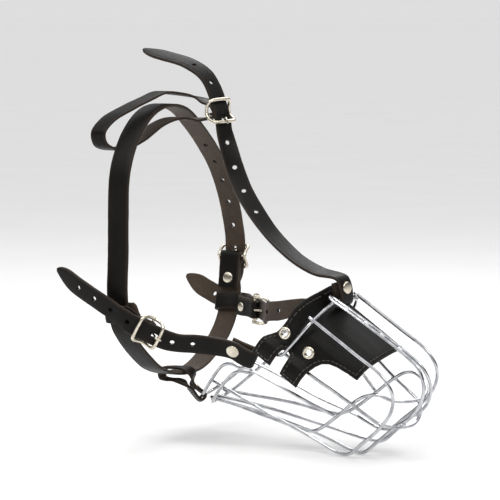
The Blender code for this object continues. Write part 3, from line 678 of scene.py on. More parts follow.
TOP_SIDE = [
    (-6, 27, 0.3), (12, 27, 0.6), (36, 27, 1), (62, 27, 1), (74, 27, -5), (79, 27, -17), (77, 27, -36),
    (70, 26, -58), (65, 25, -72), (58, 24.5, -78), (34, 24.5, -83.5), (4, 23, -92), (-30, 23, -99.5),
    (-57, 21.8, -106),
]
TOP_MIDDLE = [
    (-9, 1.6, 4.3), (12, 1.6, 6), (36, 1.6, 7.4), (62, 1.6, 8), (74, 2.2, 6.5), (84, 4, -2), (87.6, 6, -14),
    (86, 8, -27), (80.5, 9.8, -40), (74, 11, -60), (69, 11.3, -74), (61, 10.6, -80), (33, 7, -91),
    (-20, 4.5, -115), (-58.5, 2.6, -135.6),
]
HOOP_SIDE = [
    (-58, 7.4, -131.6), (-40, 9.5, -121.5), (-5, 15, -103), (18, 16.5, -92), (28, 17.8, -86),
    (34, 19.2, -78), (43, 21.6, -56), (50, 23.5, -36), (56, 23.8, -24), (63, 22.5, -17.5),
    (73, 19.5, -15.5), (81.5, 10.5, -13.5),
]
HOOP_FRONT = (84.6, 0, -12.5)
BAND_SIDE = [
    (-9.2, 34.2, -33), (16, 32.6, -34), (34, 29, -35), (50, 26.6, -35.5), (64, 25.2, -35.5),
    (75, 23.2, -35.5), (82.6, 15.5, -35.5), (86.4, 8, -35.5),
]
BAND_FRONT = (88, 0, -35.5)
SIDE = [(-25.2, 38.3, -61.2), (-12, 37, -58.8), (4, 35.5, -56.2), (25, 31, -55), (41.5, 25, -54.6)]
RIM_TOP = (-6, 0, 1.4)
RIM_SIDE = [
    (-4, 20, -0.9), (-3.2, 27, -3.2), (-4, 32.5, -12), (-6, 36, -25), (-9, 37.4, -34), (-17, 38, -36),
    (-25, 38.5, -38), (-28, 38.5, -42), (-28, 38.5, -51), (-28, 38.5, -60), (-31.5, 38.4, -65),
    (-41, 37, -69.5), (-47.5, 34.5, -78), (-55, 26, -104), (-62.4, 13.5, -130), (-66.6, 6.5, -139.6),
]
RIM_BOTTOM = (-67, 0, -140.6)
INNER_SIDE = [
    (-24, 36.2, -64.5), (-32, 35.8, -70), (-37.8, 33.8, -78), (-45.5, 26.3, -102), (-53, 13, -128),
    (-56.8, 5, -137),
]
INNER_BOTTOM = (-57.4, 0, -138.6)
WIRES = {}


def loop_round(front, side):
    """A wire from the right side over its middle point to the left side."""
    return mirrored(side, -1) + [cage(*front)] + mirrored(side[::-1], 1)


def make_cage():
    """The ten wires and the welds between them."""
    runs = {}
    for name, side in (("right", -1), ("left", 1)):
        runs["cage_top_wire_" + name] = mirrored(TOP_SIDE, side), False
        runs["cage_middle_wire_" + name] = mirrored(TOP_MIDDLE, side), False
        runs["cage_side_wire_" + name] = mirrored(SIDE, side), False
    runs["cage_nose_hoop"] = loop_round(HOOP_FRONT, HOOP_SIDE), False
    runs["cage_band_wire"] = loop_round(BAND_FRONT, BAND_SIDE), False
    runs["cage_inner_rim"] = loop_round(INNER_BOTTOM, INNER_SIDE), False
    runs["cage_rear_rim"] = loop_round(RIM_BOTTOM, RIM_SIDE) + [cage(*RIM_TOP)], True
    for name, (points, closed) in runs.items():
        path = smooth(points, WIRE_STEP, closed, WIRE_TURN)
        WIRES[name] = path
        rod(name + "_chrome", path, WIRE_R, ROOT, CHROME, [name], WIRE_SIDES, closed)
    make_welds()


def wire_way(wire, k):
    """The way a wire runs at a station."""
    return wire[min(k + 1, len(wire) - 1)] - wire[max(k - 1, 0)]


def uneven(co, i):
    """How much a bead swells at a place on it; i tells the wires' beads apart."""
    return 1 + 0.09 * math.sin(5 * co.x + 3 * co.y + i) + 0.06 * math.sin(9 * co.z + 2 * i)


def make_welds():
    """A small fillet of weld metal wherever two wires touch."""
    parts = bmesh.new()
    names = sorted(WIRES)
    for i, first in enumerate(names):
        for second in names[i + 1:]:
            a, b = WIRES[first], WIRES[second]
            gaps = np.linalg.norm(a[:, None] - b[None], axis=2)
            while gaps.min() < WELD_REACH:
                k, m = np.unravel_index(gaps.argmin(), gaps.shape)
                middle = (a[k] + b[m]) / 2
                gaps[np.ix_(*[np.linalg.norm(wire - middle, axis=1) < WELD_APART for wire in (a, b)])] = FAR
                way_a, way_b = wire_way(a, k), wire_way(b, m)
                if way_a @ way_b < 0:
                    way_b = -way_b
                way = Vector(way_a / np.linalg.norm(way_a) + way_b / np.linalg.norm(way_b)).normalized()
                across = Vector(b[m] - a[k])
                if across.length >= 0.05:
                    blob(parts, seat(middle, way, across), WELD_SIZE, lump=lambda co: uneven(co, i))
    finish_mesh("cage_welds", mesh_from(parts), [WELD], ROOT, sharp=80)


# Nose pad: a sheet bent over the bridge. PROFILE is its bow in the cage's (y, z), and an outline is in
# (x, distance round the bow). The rear rim passes between the two lobes of each side.

PROFILE = [
    (0, -5.5), (10, -5.8), (18, -6.8), (23.4, -9.2), (27.2, -13.2), (30.2, -18.2), (32.3, -23.7),
    (34.6, -27.5), (39.0, -31), (41.6, -36), (42.6, -42.8),
]
STRETCH = [0.0]
for here, there in zip(PROFILE, PROFILE[1:]):
    STRETCH.append(STRETCH[-1] + math.dist(here, there))
TAB_END = STRETCH[-1]
OUTLINE = [
    (-19, 0), (-19.5, 22), (-19.5, 33), (-21, 41), (-24.5, 46), (-26.6, 50), (-27, 54), (-27, TAB_END),
    (-10.8, TAB_END), (-10.3, 55), (-9.8, 48.6), (-6, 46.6), (-2.2, 48.6), (-1.7, 55), (-1.4, TAB_END),
    (14.3, TAB_END), (14.6, 56), (15, 49), (16.6, 43), (19.5, 38.4), (24, 35.0), (30, 33.2), (37, 32.2),
    (47, 31.2), (47, 0),
]
LINING_OUTLINE = [(-1.2, 0), (-1.2, 17), (3, 21.6), (12, 23.2), (34, 23.2), (38, 20), (38, 0)]


def mirrored_outline(half):
    """A whole outline from its left half."""
    return [(x, s) for x, s in half] + [(x, -s) for x, s in half[::-1] if s > 0]


def distances(points, polygon):
    """Signed distance (inside positive) from a closed outline, and the way to its nearest point."""
    best = np.full(len(points), 1e9)
    nearest = np.zeros_like(points)
    inside = np.zeros(len(points), bool)
    for (x0, y0), (x1, y1) in zip(polygon, polygon[1:] + polygon[:1]):
        edge = np.array([x1 - x0, y1 - y0])
        rel = points - np.array([x0, y0])
        share = np.clip(rel @ edge / max(edge @ edge, 1e-9), 0, 1)
        spot = np.array([x0, y0]) + share[:, None] * edge
        gap = np.linalg.norm(points - spot, axis=1)
        closer = gap < best
        best[closer], nearest[closer] = gap[closer], spot[closer]
        crosses = ((y0 > points[:, 1]) != (y1 > points[:, 1]))
        with np.errstate(divide="ignore", invalid="ignore"):
            where = (x1 - x0) * (points[:, 1] - y0) / (y1 - y0) + x0
        inside ^= crosses & (points[:, 0] < where)
    return np.where(inside, best, -best), nearest


def pad_place(x, s, drop=0.0):
    """The pad's surface point and normal at a distance s round its bow, in the model's axes."""
    def spot(x, s):
        side = -1 if s < 0 else 1
        y = np.interp(abs(s), STRETCH, [p[0] for p in PROFILE])
        z = np.interp(abs(s), STRETCH, [p[1] for p in PROFILE])
        # Behind the rim the middle rises, smoothly less toward the lobes.
        fade = min(1.0, max(0.0, (31 - y) / 6))
        behind = max(0.0, -8.5 - x)
        return Vector((x, side * y, z + 0.75 * behind * fade * fade * (3 - 2 * fade)))
    here = spot(x, s)
    dx = (spot(x + 0.6, s) - spot(x - 0.6, s)).normalized()
    ds = (spot(x, s + 1.6) - spot(x, s - 1.6)).normalized()
    out = dx.cross(ds).normalized()
    return cage(*(here - out * drop)), cage_turn() @ out


def pad_sheet(name, outline, thickness, drop, crown, holes, mats, nodes):
    """A leather sheet on the pad's bow: rounded edge, stitch groove, soft crown and holes."""
    polygon = mirrored_outline(outline)
    xs = np.arange(min(p[0] for p in polygon) - PAD_CELL, max(p[0] for p in polygon) + 2 * PAD_CELL, PAD_CELL)
    top = max(p[1] for p in polygon)
    rows = np.linspace(-top - PAD_CELL, top + PAD_CELL, int(2 * (top + PAD_CELL) / PAD_CELL) + 1)
    grid = np.array([(x, s) for x in xs for s in rows])
    depth, nearest = distances(grid, polygon)
    for hx, hs, radius in holes:
        centre = np.array([hx, hs])
        gap = np.linalg.norm(grid - centre, axis=1)
        rim = centre + (grid - centre) / np.maximum(gap, 1e-6)[:, None] * radius
        closer = (gap - radius) < depth
        depth = np.where(closer, gap - radius, depth)
        nearest = np.where(closer[:, None], rim, nearest)
    # Points just outside and just inside the outline are drawn to it; the rest outside are dropped.
    keep = depth > -0.62 * PAD_CELL
    snap = depth < 0.35 * PAD_CELL
    grid = np.where((keep & snap)[:, None], nearest, grid)
    depth = np.where(snap, 0.0, depth)
    parts = bmesh.new()
    worn = parts.verts.layers.float.new("worn")
    tops, bottoms = {}, {}
    for i in np.flatnonzero(keep):
        place, out = pad_place(grid[i][0], grid[i][1], drop)
        near = min(depth[i] / EDGE_ROUND, 1.0)
        half = thickness / 2 * (0.42 + 0.58 * math.sqrt(1 - (1 - near) ** 2))
        groove = 0.22 * math.exp(-((depth[i] - STITCH_INSET) / 0.65) ** 2)
        swell = crown * (1 - math.exp(-max(depth[i] - STITCH_INSET, 0) / 4))
        up = parts.verts.new((place + out * (half - groove + swell)) * MM)
        down = parts.verts.new((place - out * (half - 0.5 * groove)) * MM)
        up[worn], down[worn] = max(0, 0.8 - depth[i] / 1.6), max(0, 0.6 - depth[i] / 1.6)
        tops[i], bottoms[i] = up, down
    high = len(rows)
    border = {}
    for i in range(len(xs) - 1):
        for j in range(high - 1):
            ring = [i * high + j, (i + 1) * high + j, (i + 1) * high + j + 1, i * high + j + 1]
            ring = [k for k in ring if k in tops]
            if len(ring) < 3 or all(depth[k] == 0 for k in ring):
                continue
            parts.faces.new([tops[k] for k in ring])
            parts.faces.new([bottoms[k] for k in ring[::-1]]).material_index = 1
            for a, b in zip(ring, ring[1:] + ring[:1]):
                border[a, b] = border.get((a, b), 0) + 1
    for a, b in list(border):
        if (b, a) not in border:
            parts.faces.new((tops[b], tops[a], bottoms[a], bottoms[b]))
    bmesh.ops.remove_doubles(parts, verts=parts.verts, dist=0.00002)
    loose = [v for v in parts.verts if not v.link_faces]
    bmesh.ops.delete(parts, geom=loose, context="VERTS")
    return finish_mesh(name, mesh_from(parts), mats, ROOT, nodes, 50)


def make_stitches():
    """Waxed thread stitches along the pad's outline, each a short bent rod sunk at its ends."""
    polygon = mirrored_outline(OUTLINE)
    closed = np.array(polygon + polygon[:1], float)
    run = distances_along(closed)
    count = int(run[-1] / 0.5)
    dense = np.stack([np.interp(np.linspace(0, run[-1], count), run, closed[:, k]) for k in range(2)], axis=1)
    way = np.roll(dense, -4, axis=0) - np.roll(dense, 4, axis=0)
    way /= np.maximum(np.linalg.norm(way, axis=1), 1e-6)[:, None]
    inward = np.stack([way[:, 1], -way[:, 0]], axis=1) * STITCH_INSET
    if np.median(distances(dense + inward, polygon)[0]) < 0:
        inward = -inward
    inner = dense + inward
    line = inner[distances(inner, polygon)[0] > STITCH_INSET - 0.25]
    parts = bmesh.new()
    gone = 0.0
    for a, b in zip(line, line[1:]):
        length = np.linalg.norm(b - a)
        gone += length
        if length > 3 or gone < STITCH_PITCH:
            continue
        gone = 0.0
        heading = (b - a) / max(length, 1e-6)
        path = []
        for share, rise in STITCH_BEND:
            spot = b + heading * share * (STITCH_PITCH - STITCH_SPACE)
            place, out = pad_place(*spot)
            path.append(place + out * (PAD_T / 2 + rise))
        tube_into(parts, path, STITCH_RADII, 8)
    finish_mesh("nose_pad_stitches", mesh_from(parts), [THREAD], ROOT)


def make_pad():
    """The pad, its lining, its stitches and its four eyelets."""
    holes = [(x, side * EYELET_S, EYELET_HOLE_R) for x in EYELET_X.values() for side in (-1, 1)]
    pad_sheet("nose_pad_leather", OUTLINE, PAD_T, 0, 0.35, holes, [PAD_GRAIN, FLESH], ["nose_pad"])
    lining = pad_sheet("nose_pad_cushion", LINING_OUTLINE, LINING_T, PAD_T / 2 + LINING_GAP + LINING_T / 2, 0,
                       [], [LINING_SKIN, LINING_SKIN], ["nose_pad_lining"])
    make_stitches()
    for name, side in (("right", -1), ("left", 1)):
        for where, x in EYELET_X.items():
            place, out = pad_place(x, side * EYELET_S)
            out = facing(out, cage_turn() @ Vector((0, side, 0)))
            ring = seat(place + out * (PAD_T / 2 - 0.1), cage_turn() @ FORWARD, out)
            turned(f"eyelet_{where}_{name}", EYELET_ROWS, ring, [f"pad_eyelet_{where}_{name}"], ring=True)


# Buckles: x is forward along the strap and z is out of its face, from the middle of the centre bar


def fold_radius(fold_t):
    """The middle of a folded strap round the centre bar."""
    return BAR_R + BAR_GAP + fold_t / 2


def strap_over(strap_t, fold_t):
    """The height of a strap's middle where it passes over the fold."""
    return BAR_R + BAR_GAP + fold_t + FOLD_GAP + strap_t / 2


def ring_path(half_w, rise):
    """A buckle's rounded frame: flat across the bars, arched along the strap."""
    points = []
    for cx, cy, start in ((1, 1, 0), (-1, 1, 90), (-1, -1, 180), (1, -1, 270)):
        for turn in (0, 30, 60, 90):
            angle = math.radians(start + turn)
            x = cx * (RING_HALF_L - RING_CORNER) + RING_CORNER * math.cos(angle)
            y = cy * (half_w - RING_CORNER) + RING_CORNER * math.sin(angle)
            points.append((x, y, rise * (x / RING_HALF_L) ** 2))
        if cy * cx > 0:
            for x in (0.55 * cx * RING_HALF_L, 0, -0.55 * cx * RING_HALF_L):
                points.append((x, cy * half_w, rise * (x / RING_HALF_L) ** 2))
    return points


def over_buckle(frame, thickness, fold_t, ends=(14, -14)):
    """A strap's way under the end bars and over the folded strap, front to rear."""
    over = strap_over(thickness, fold_t)
    under = over + END_RISE - RING_R - END_GAP - thickness / 2
    run = [(ends[0], under - 1.3), (RING_HALF_L + 0.6, under - 0.1), (4.3, over - 0.4), (0, over),
           (-4.3, over - 0.4), (-RING_HALF_L - 0.6, under - 0.3), (ends[1], under - 0.3)]
    return [at(frame, x, z) for x, z in run]


def fold(frame, radius, tail=7, drop=0):
    """A strap's bend round the centre bar, from its outer leg to its inner leg."""
    points = [(-tail, drop), (-3.4, 0.8 * radius)]
    for turn in (90, 45, 0, -45, -90):
        angle = math.radians(turn)
        points.append((radius * math.cos(angle), radius * math.sin(angle)))
    points += [(-3.2, -radius), (-tail, -radius - 0.5)]
    return [at(frame, x, z) for x, z in points]


def make_buckle(name, frame_at, half_w, rise):
    """A rounded frame with its centre bar, and a tapered prong curled round the bar."""
    body, tongue = name + "_frame", name + "_tongue"
    outline = smooth([frame_at @ Vector(p) for p in ring_path(half_w, rise)], 0.8, True, 8)
    parts = bmesh.new()
    tube_into(parts, outline, RING_R, 16, True)
    bar = [frame_at @ Vector((0, y, 0)) for y in np.linspace(-half_w, half_w, 9)]
    tube_into(parts, bar, BAR_R, 16)
    for end in (-1, 1):
        blob(parts, frame_at, LUG_SIZE, shift=(0, end * half_w, 0))
    finish_mesh(name + "_buckle_plate", mesh_from(parts), [NICKEL], body, [name + "_buckle"])
    curl = []
    for turn in range(60, 331, 15):
        angle = math.radians(turn)
        curl.append((EYE_R * math.cos(angle), 0, EYE_R * math.sin(angle)))
    rest = rise + RING_R + REST_GAP + PRONG_R
    pin = [(3.5, 0, 1.6), (4.8, 0, 4.2), (6.3, 0, rest - 0.4), (8.2, 0, rest), (10.6, 0, rest - 0.1)]
    path = smooth([frame_at @ Vector(p) for p in curl + pin], 0.6, False, 8)
    run = distances_along(path)
    radii = np.interp(run, [0, run[-1] - 7, run[-1] - 1.2, run[-1]], [PRONG_R, PRONG_R, 0.66, 0.5])
    rod(name + "_prong_pin", path, list(radii), tongue, NICKEL, [name + "_prong"], 14)


# Straps

NECK_RING = [
    (-89, 81.5, 43), (-88.5, 76, 27), (-88, 64.7, 13), (-88, 46, 0), (-88, 23, -9.5), (-88, -7, -10.5),
    (-88, -34, -4), (-88.5, -50, 5.8), (-89, -66, 18.9), (-89.5, -75.5, 31), (-90, -79.5, 52),
    (-90.5, -77.5, 81), (-91, -76.4, 105), (-91, -74.8, 134), (-91, -69.4, 149.3), (-91, -60, 163),
    (-91, -44.3, 176.2), (-91, -28.1, 182.7), (-91, -9, 184), (-91, 9.3, 180), (-91, 29, 168),
    (-91, 49, 152.5), (-91, 67.6, 134), (-91, 82, 110), (-90.5, 87.5, 93),
]
NECK_BUCKLE = seat((-90, 84.6, 68), (0, 0.1, 1), (0, 1, -0.1))
ANCHOR = (-28, 38.5, -51.4)  # on the rear rim's upright, in the cage's axes
# Each cheek strap: its buckle's seat, its way forward and its free end, the direction across the free end,
# the place where its short strap holds the collar, and the way back from the rim.
CHEEKS = {
    "right": dict(
        side=-1, buckle=seat((-68, -74, 28.5), (0.752, 0.486, -0.444), (0.45, -0.87, -0.19)),
        run=[(-50.4, -66, 19.9), (-36.6, -57.5, 18.7)],
        free=[(-82.5, -86.4, 38.2), (-89, -87.4, 42.6), (-101, -89.5, 50), (-118, -90, 59.7),
              (-133.6, -89, 69.8)],
        tail=(0.17, -0.25, 0.95), collar=(-89.8, -77.5, 39), back=(-0.9, -0.37, 0.23)),
    "left": dict(
        side=1, buckle=seat((-58, 62, 30.8), (0.80, -0.57, -0.12), (0.58, 0.815, 0)),
        run=[(-41, 52.5, 31), (-28, 46.5, 33)],
        free=[(-80, 85, 33), (-94, 86.6, 33.8), (-113.8, 88.5, 41), (-131.5, 88, 50.5)],
        tail=(0.18, 0.37, 0.91), collar=(-88.7, 78.1, 33), back=(-0.83, 0.36, 0.3)),
}


BY_BUCKLE, TURNING, BEHIND = (0.25, 0.95, 0.1), (-0.6, 0.75, 0), (-1, 0, 0)
HEAD_LOOP = [
    ((-68, 9.5, 186.5), BY_BUCKLE), ((-78, 6, 190), TURNING), ((-86, -6, 192.5), BEHIND),
    ((-89, -22, 193.5), BEHIND), ((-92, -36, 189.5), BEHIND), ((-99, -51, 183), BEHIND),
    ((-107, -64, 175), BEHIND), ((-110.5, -71, 166), BEHIND), ((-110, -68, 157.5), BEHIND),
    ((-104, -57, 154), BEHIND), ((-96, -42, 160), BEHIND), ((-90, -24, 170.5), BEHIND),
    ((-86, -8, 174.5), BEHIND), ((-79, 4, 174), TURNING), ((-70, 9, 173.5), BY_BUCKLE),
]
CHIN_DOWN = (-0.3, 0.95, 0.1)  # across the strap where it turns down from the collar
CHIN_LOWER = [
    ((-98.3, -5, -11), LEFT), ((-97.2, -5, -14.8), LEFT), ((-93, -4.5, -15.9), LEFT),
    ((-87, -3, -16.1), LEFT), ((-82.5, 0.5, -18.6), CHIN_DOWN),
]
CHIN_UPPER = [
    ((-76, 1.6, -12), (-0.15, 0.98, 0.1)), ((-78.4, -1, -7.9), (0, 1, 0.1)), ((-83, -2.5, -7), LEFT),
    ((-88, -3.5, -6.9), LEFT), ((-93, -4.5, -7.1), LEFT), ((-97.2, -5, -7.8), LEFT),
]
CHIN_ENDS = (-62.4, -13.5, -130), (-66.6, -6.5, -139.6)  # the strap hangs between these on the rear rim
CHIN_SHARE = 0.62
CHIN_HANG = (0.48, 0.53, -0.70)
CHIN_GAP = 0.8


def each(points, across):
    """Stations at the points, all with the same direction across."""
    return [(Vector(point), Vector(across)) for point in points]


def pairs(rows):
    """Stations from rows of (point, direction across)."""
    return [(Vector(point), Vector(across)) for point, across in rows]


def oval_cut(frame_at, x, z, radius, half_long):
    """A slot along a strap, at a place in its buckle's frame."""
    turn = frame_at.to_3x3()
    return at(frame_at, x, z), turn @ FORWARD, turn @ UP, radius, half_long


def prong_slot(frame_at):
    """The slot a prong goes through, in the strap over the fold."""
    return oval_cut(frame_at, PRONG_X, NECK_PRONG_Z, 1.55, 1.6)


def fold_slot(frame_at):
    """The long slot in a folded strap that the prong's curl sits in."""
    return oval_cut(frame_at, 0.9, 0, 1.5, 2.6)


def make_neck():
    """The collar: folded round its buckle's bar, round the neck, and back over the fold to its free end."""
    place = NECK_BUCKLE
    bend = fold(place, fold_radius(NECK_T))
    inner_leg = [at(place, -24, -3.9), at(place, -15, -3.1)]
    outer_leg = [at(place, -14, 0), at(place, -20, 0.2)]
    over = over_buckle(place, NECK_T, NECK_T, ends=(15, -15))
    stations = each(inner_leg + bend[::-1] + outer_leg + NECK_RING + over + [at(place, -25.5, 4.8)], FORWARD)
    holes = punched(stations, NECK_HOLES, at(place, PRONG_X, NECK_PRONG_Z))
    cuts = holes + [prong_slot(place), fold_slot(place)]
    strap("neck_strap", stations, NECK_W, NECK_T, tip=TIP_L, cuts=cuts)
    make_buckle("neck", place, NECK_W / 2 + 2.6, strap_over(NECK_T, NECK_T) + END_RISE)
    rivet("neck_rivet_cap", "neck_strap", at(place, -16, -3.2), -place.col[2].xyz, NECK_RIVET_R, NECK_T,
          ["neck_rivet"])


def buckle_width(frame, way):
    """The direction of a buckle's bar, leaning along the given way."""
    return facing(frame.to_3x3() @ LEFT, way)


def make_cheek_strap(name, side, place, data):
    """A cheek strap, looped on the rear rim's upright and drawn back through its buckle to a pointed end."""
    post = cage(ANCHOR[0], side * ANCHOR[1], ANCHOR[2])
    upright = cage_turn() @ UP
    back = Vector(data["back"])
    back = (back - upright * back.dot(upright)).normalized()
    out = facing(back.cross(upright).normalized(), LEFT * side)
    clear = WIRE_R + WIRE_GAP + STRAP_T / 2
    loop = [post + back * 17 - out * 3.4, post + back * 10 - out * 2.9, post + back * 5 - out * clear]
    loop += arc(post, -back, out, clear, (-90, -45, 0, 45, 90))
    loop += [post + back * 6 + out * (clear - 0.1), post + back * 14 + out * 1.0]
    bar_way = buckle_width(place, UP)
    middle = (upright + bar_way).normalized()
    stations = each(loop, upright) + each(data["run"][::-1], middle)
    stations += each(over_buckle(place, STRAP_T, SHORT_T), bar_way) + each(data["free"], data["tail"])
    spot = at(place, PRONG_X, PRONG_Z)
    holes = punched(stations, CHEEK_HOLES, spot)
    strap("cheek_strap_" + name, stations, STRAP_W, STRAP_T, tip=TIP_L, toward=out, near=spot,
          cuts=holes + [prong_slot(place)])
    rivet("cheek_cap_" + name, "cheek_strap_" + name, post + back * 13 + out * 1.5, out, CHEEK_RIVET_R,
          STRAP_T, ["cheek_rivet_" + name])


def make_cheek_buckle_strap(name, side, place, data):
    """The short strap from the cheek buckle's bar round the collar and back, riveted behind the bar."""
    collar, down_collar, _ = on_strap("neck_strap", data["collar"])
    down_collar = facing(down_collar, UP)
    outward = facing(FORWARD.cross(down_collar).normalized(), LEFT * side)
    edge = NECK_W / 2 + COLLAR_EDGE + SHORT_T / 2
    inner = NECK_T / 2 + COLLAR_IN + SHORT_T / 2
    outer = NECK_T / 2 + COLLAR_OUT + SHORT_T / 2
    to_bar = (place.translation - collar).normalized()
    legs = facing(to_bar.cross(UP).normalized(), LEFT * side)
    wrap = [collar + to_bar * 15 - legs * 1.9, collar + FORWARD * 10.4 - outward * inner,
            collar - FORWARD * 5 - outward * inner, collar - FORWARD * (edge - 0.9) - outward * (inner - 1.0),
            collar - FORWARD * edge, collar - FORWARD * (edge - 0.9) + outward * (outer - 1.0),
            collar - FORWARD * 5 + outward * outer, collar + FORWARD * 8.0 + outward * outer,
            collar + to_bar * 15 + legs * 1.5]
    bar_way = buckle_width(place, UP)
    bend = fold(place, fold_radius(SHORT_T), tail=5.6, drop=0.7)
    ends_across = bar_way + down_collar
    stations = each(bend, bar_way) + each(wrap[:1], ends_across)
    stations += each(wrap[1:-1], down_collar) + each(wrap[-1:], ends_across)
    strap_name = "cheek_buckle_strap_" + name
    strap(strap_name, stations, SHORT_W, SHORT_T, closed=True, cuts=[fold_slot(place)])
    rivet("cheek_short_cap_" + name, strap_name, (bend[-1] + wrap[0]) / 2, -legs, SHORT_RIVET_R, SHORT_T,
          ["cheek_buckle_rivet_" + name])
    rivet("cheek_front_cap_" + name, strap_name, (bend[0] + wrap[-1]) / 2, legs, SHORT_RIVET_R, SHORT_T, [])


def make_cheek(name, data):
    """One side's straps and buckle."""
    side, place = data["side"], data["buckle"]
    make_cheek_strap(name, side, place, data)
    make_cheek_buckle_strap(name, side, place, data)
    make_buckle("cheek_" + name, place, STRAP_W / 2 + 2.5, strap_over(STRAP_T, SHORT_T) + END_RISE)


HEAD_BUCKLE = seat((-59, 9, 178), (0.33, -0.1, -0.94), (0.80, -0.45, 0.36))
HEAD_RUN = [
    (-51.3, 7.2, 161), (-43.5, 6, 140), (-35, 3.5, 124), (-23.9, 0.5, 110), (-10.7, -3, 96.5),
    (2, -7, 86.8), (19.2, -12, 76.5), (36, -13.5, 69.5),
]
HEAD_ACROSS = [
    (0.55, 0.8, 0.15), (0.78, 0.52, 0.3), (0.75, 0.55, 0.3), (0.6, 0.7, 0.3), (0.45, 0.85, 0.25),
    (0.3, 0.9, 0.25), (0.2, 0.95, 0.24), (0.166, 0.955, 0.242),
]
HEAD_FREE = [(-69, 10, 205), (-84, 10, 214), (-103, 10, 219), (-122, 10, 223.5)]
HEAD_POST = (-5, 12, 0.45)  # where it hangs on the rear rim, left of the middle wires
HEAD_FREE_ACROSS = (0.3, 0.9, 0.3)


def make_head():
    """The head strap: looped on the rim's top, up the forehead and back through its buckle."""
    post = cage(*HEAD_POST)
    turn3 = cage_turn()
    lateral = turn3 @ Vector((0.12, 1, -0.12)).normalized()
    up = turn3 @ Vector((-0.45, 0, 0.9)).normalized()
    front = lateral.cross(up).normalized()
    clear = WIRE_R + WIRE_GAP + STRAP_T / 2
    loop = [post + up * 12.5 - front * 4.6, post + up * 7 - front * (clear + 0.4)]
    loop += arc(post, front, up, clear, (180, 225, 270, 315, 360))
    loop += [post + up * 6 + front * clear, post + up * 12 + front * 1.6, post + up * 16.5 - front * 1.6]
    place = HEAD_BUCKLE
    bar_way = buckle_width(place, FORWARD)
    stations = each(loop, lateral) + pairs(zip(HEAD_RUN[::-1], HEAD_ACROSS[::-1]))
    stations += each(over_buckle(place, STRAP_T, SHORT_T, ends=(13, -13)), bar_way)
    stations += each(HEAD_FREE, HEAD_FREE_ACROSS)
    spot = at(place, PRONG_X, PRONG_Z)
    holes = punched(stations, HEAD_HOLES, spot)
    strap("head_strap", stations, STRAP_W - 1.5, STRAP_T, tip=TIP_L, toward=place.col[2].xyz, near=spot,
          cuts=holes + [prong_slot(place)])
    rivet("head_cap", "head_strap", post + up * 9.3 + front * 2.3, front, HEAD_RIVET_R, STRAP_T,
          ["head_strap_rivet"])
    make_buckle("head", place, STRAP_W / 2 + 2.2, strap_over(STRAP_T, SHORT_T) + END_RISE)


def make_head_loop():
    """The short head strap: folded round the top buckle's bar, its long slack loop holds the collar."""
    place = HEAD_BUCKLE
    bar_way = buckle_width(place, FORWARD)
    radius = fold_radius(SHORT_T)
    bend = [at(place, x, z) for x, z in ((-7, -0.4), (-3.4, 0.8 * radius), (0, radius),
                                         (0.7 * radius, 0.7 * radius), (radius, 0),
                                         (0.85 * radius, -0.6 * radius), (1.4, -4.2))]
    stations = each(bend, bar_way) + pairs(HEAD_LOOP[::-1])
    strap("head_buckle_strap", stations, SHORT_W - 1, SHORT_T, closed=True, cuts=[fold_slot(place)])


def make_chin():
    """The chin strap: a closed loop from the collar's bottom to the rear rim's bottom."""
    first, second = [cage(*p) for p in CHIN_ENDS]
    post = first.lerp(second, CHIN_SHARE)
    rim_way = (second - first).normalized()
    down = Vector(CHIN_HANG).normalized()
    face = facing(down.cross(rim_way).normalized(), UP)
    ahead = facing(rim_way.cross(face), down)
    across = (rim_way - down * rim_way.dot(down)).normalized()
    clear = WIRE_R + CHIN_GAP + SHORT_T / 2
    ends_across = rim_way + across
    loop = [(post - down * 10 - face * 1.6, across), (post - down * 4.5 - face * 2.5, ends_across)]
    loop += each(arc(post, ahead, face, clear, (-80, -40, 0, 40, 80)), rim_way)
    loop += [(post - down * 4.5 + face * 2.5, ends_across), (post - down * 10 + face * 1.6, across)]
    strap("chin_strap", pairs(CHIN_LOWER) + loop + pairs(CHIN_UPPER), CHIN_W, SHORT_T, closed=True, step=1.8)
    rivet("chin_cap", "chin_strap", post - down * 6.5 + face * 2, face, CHIN_RIVET_R, SHORT_T, ["chin_rivet"])


# Studio


def look_at(obj, place, target):
    """Puts a camera or light at a place, turned to its target."""
    obj.location = Vector(place)
    obj.rotation_euler = (Vector(target) - Vector(place)).to_track_quat("-Z", "Y").to_euler()
    bpy.context.scene.collection.objects.link(obj)
    return obj


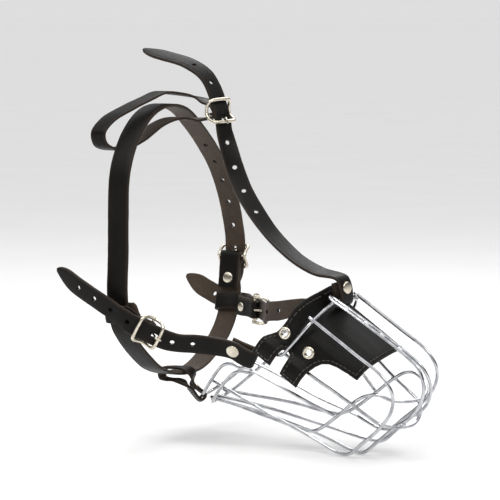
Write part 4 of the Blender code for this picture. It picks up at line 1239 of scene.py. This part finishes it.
def make_floor(low):
    """A pale paper floor that runs out to the horizon, so that every view has the same ground."""
    parts = bmesh.new()
    bmesh.ops.create_circle(parts, cap_ends=True, segments=96, radius=FLOOR_R)
    mesh = mesh_from(parts)
    obj = bpy.data.objects.new("floor", mesh)
    obj.location.z = low
    mat, tree, shader = nodes_of("pale_paper")
    cloud = texture(tree, "Noise", 6, 4)
    tree.links.new(ramp(tree, cloud, [(0.3, (0.81, 0.81, 0.81)), (0.7, (0.83, 0.83, 0.83))]),
                   shader.inputs["Base Color"])
    shader.inputs["Roughness"].default_value = 0.95
    shader.inputs["Specular IOR Level"].default_value = 0.1
    mesh.materials.append(mat)
    bpy.context.scene.collection.objects.link(obj)
    obj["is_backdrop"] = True


def from_camera(azimuth, elevation, distance):
    """A place round the object, its angle measured from the camera's side toward the object's front."""
    turn, rise = math.radians(CAMERA_AZIMUTH + azimuth), math.radians(elevation)
    away = Vector((math.sin(turn) * math.cos(rise), -math.cos(turn) * math.cos(rise), math.sin(rise)))
    return CAMERA_TARGET + away * distance


def studio(low):
    """The camera, the floor under the lowest point, four area lights and the world."""
    data = bpy.data.cameras.new("camera")
    data.lens, data.sensor_width, data.clip_end = CAMERA_LENS, 36, 2 * FLOOR_R
    eye = from_camera(0, CAMERA_ELEVATION, CAMERA_DISTANCE)
    bpy.context.scene.camera = look_at(bpy.data.objects.new("camera", data), eye, CAMERA_TARGET)
    make_floor(low - 0.0005)
    for name, place, size, power, colour in (
            ("key", from_camera(-38, 46, 1.5), 0.5, 7, (1, 0.98, 0.95)),
            ("fill", from_camera(34, 40, 1.6), 0.4, 4, (0.96, 0.98, 1)),
            ("rim", from_camera(165, 50, 1.4), 0.6, 6, (1, 1, 1)),
            ("top", from_camera(0, 88, 1.6), 0.7, 4, (1, 1, 1))):
        light = bpy.data.lights.new(name, "AREA")
        light.shape, light.size, light.energy, light.color = "SQUARE", size, power, colour
        look_at(bpy.data.objects.new(name, light), place, LIGHT_TARGET)
    world = bpy.data.worlds.new("studio")
    bpy.context.scene.world = world
    world.use_nodes = True
    tree = world.node_tree
    coord = tree.nodes.new("ShaderNodeTexCoord")
    split = tree.nodes.new("ShaderNodeSeparateXYZ")
    tree.links.new(coord.outputs["Generated"], split.inputs["Vector"])
    tree.links.new(ramp(tree, split.outputs["Z"], WORLD_BANDS), tree.nodes["Background"].inputs["Color"])
    tree.nodes["Background"].inputs["Strength"].default_value = 1.0
    bpy.context.scene.view_settings.view_transform = "Standard"


make_cage()
make_pad()
make_neck()
for cheek_name, cheek_data in CHEEKS.items():
    make_cheek(cheek_name, cheek_data)
make_head()
make_head_loop()
make_chin()
studio(min(cad_box[0][2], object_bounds()[0][2]))
bpy.context.view_layer.update()
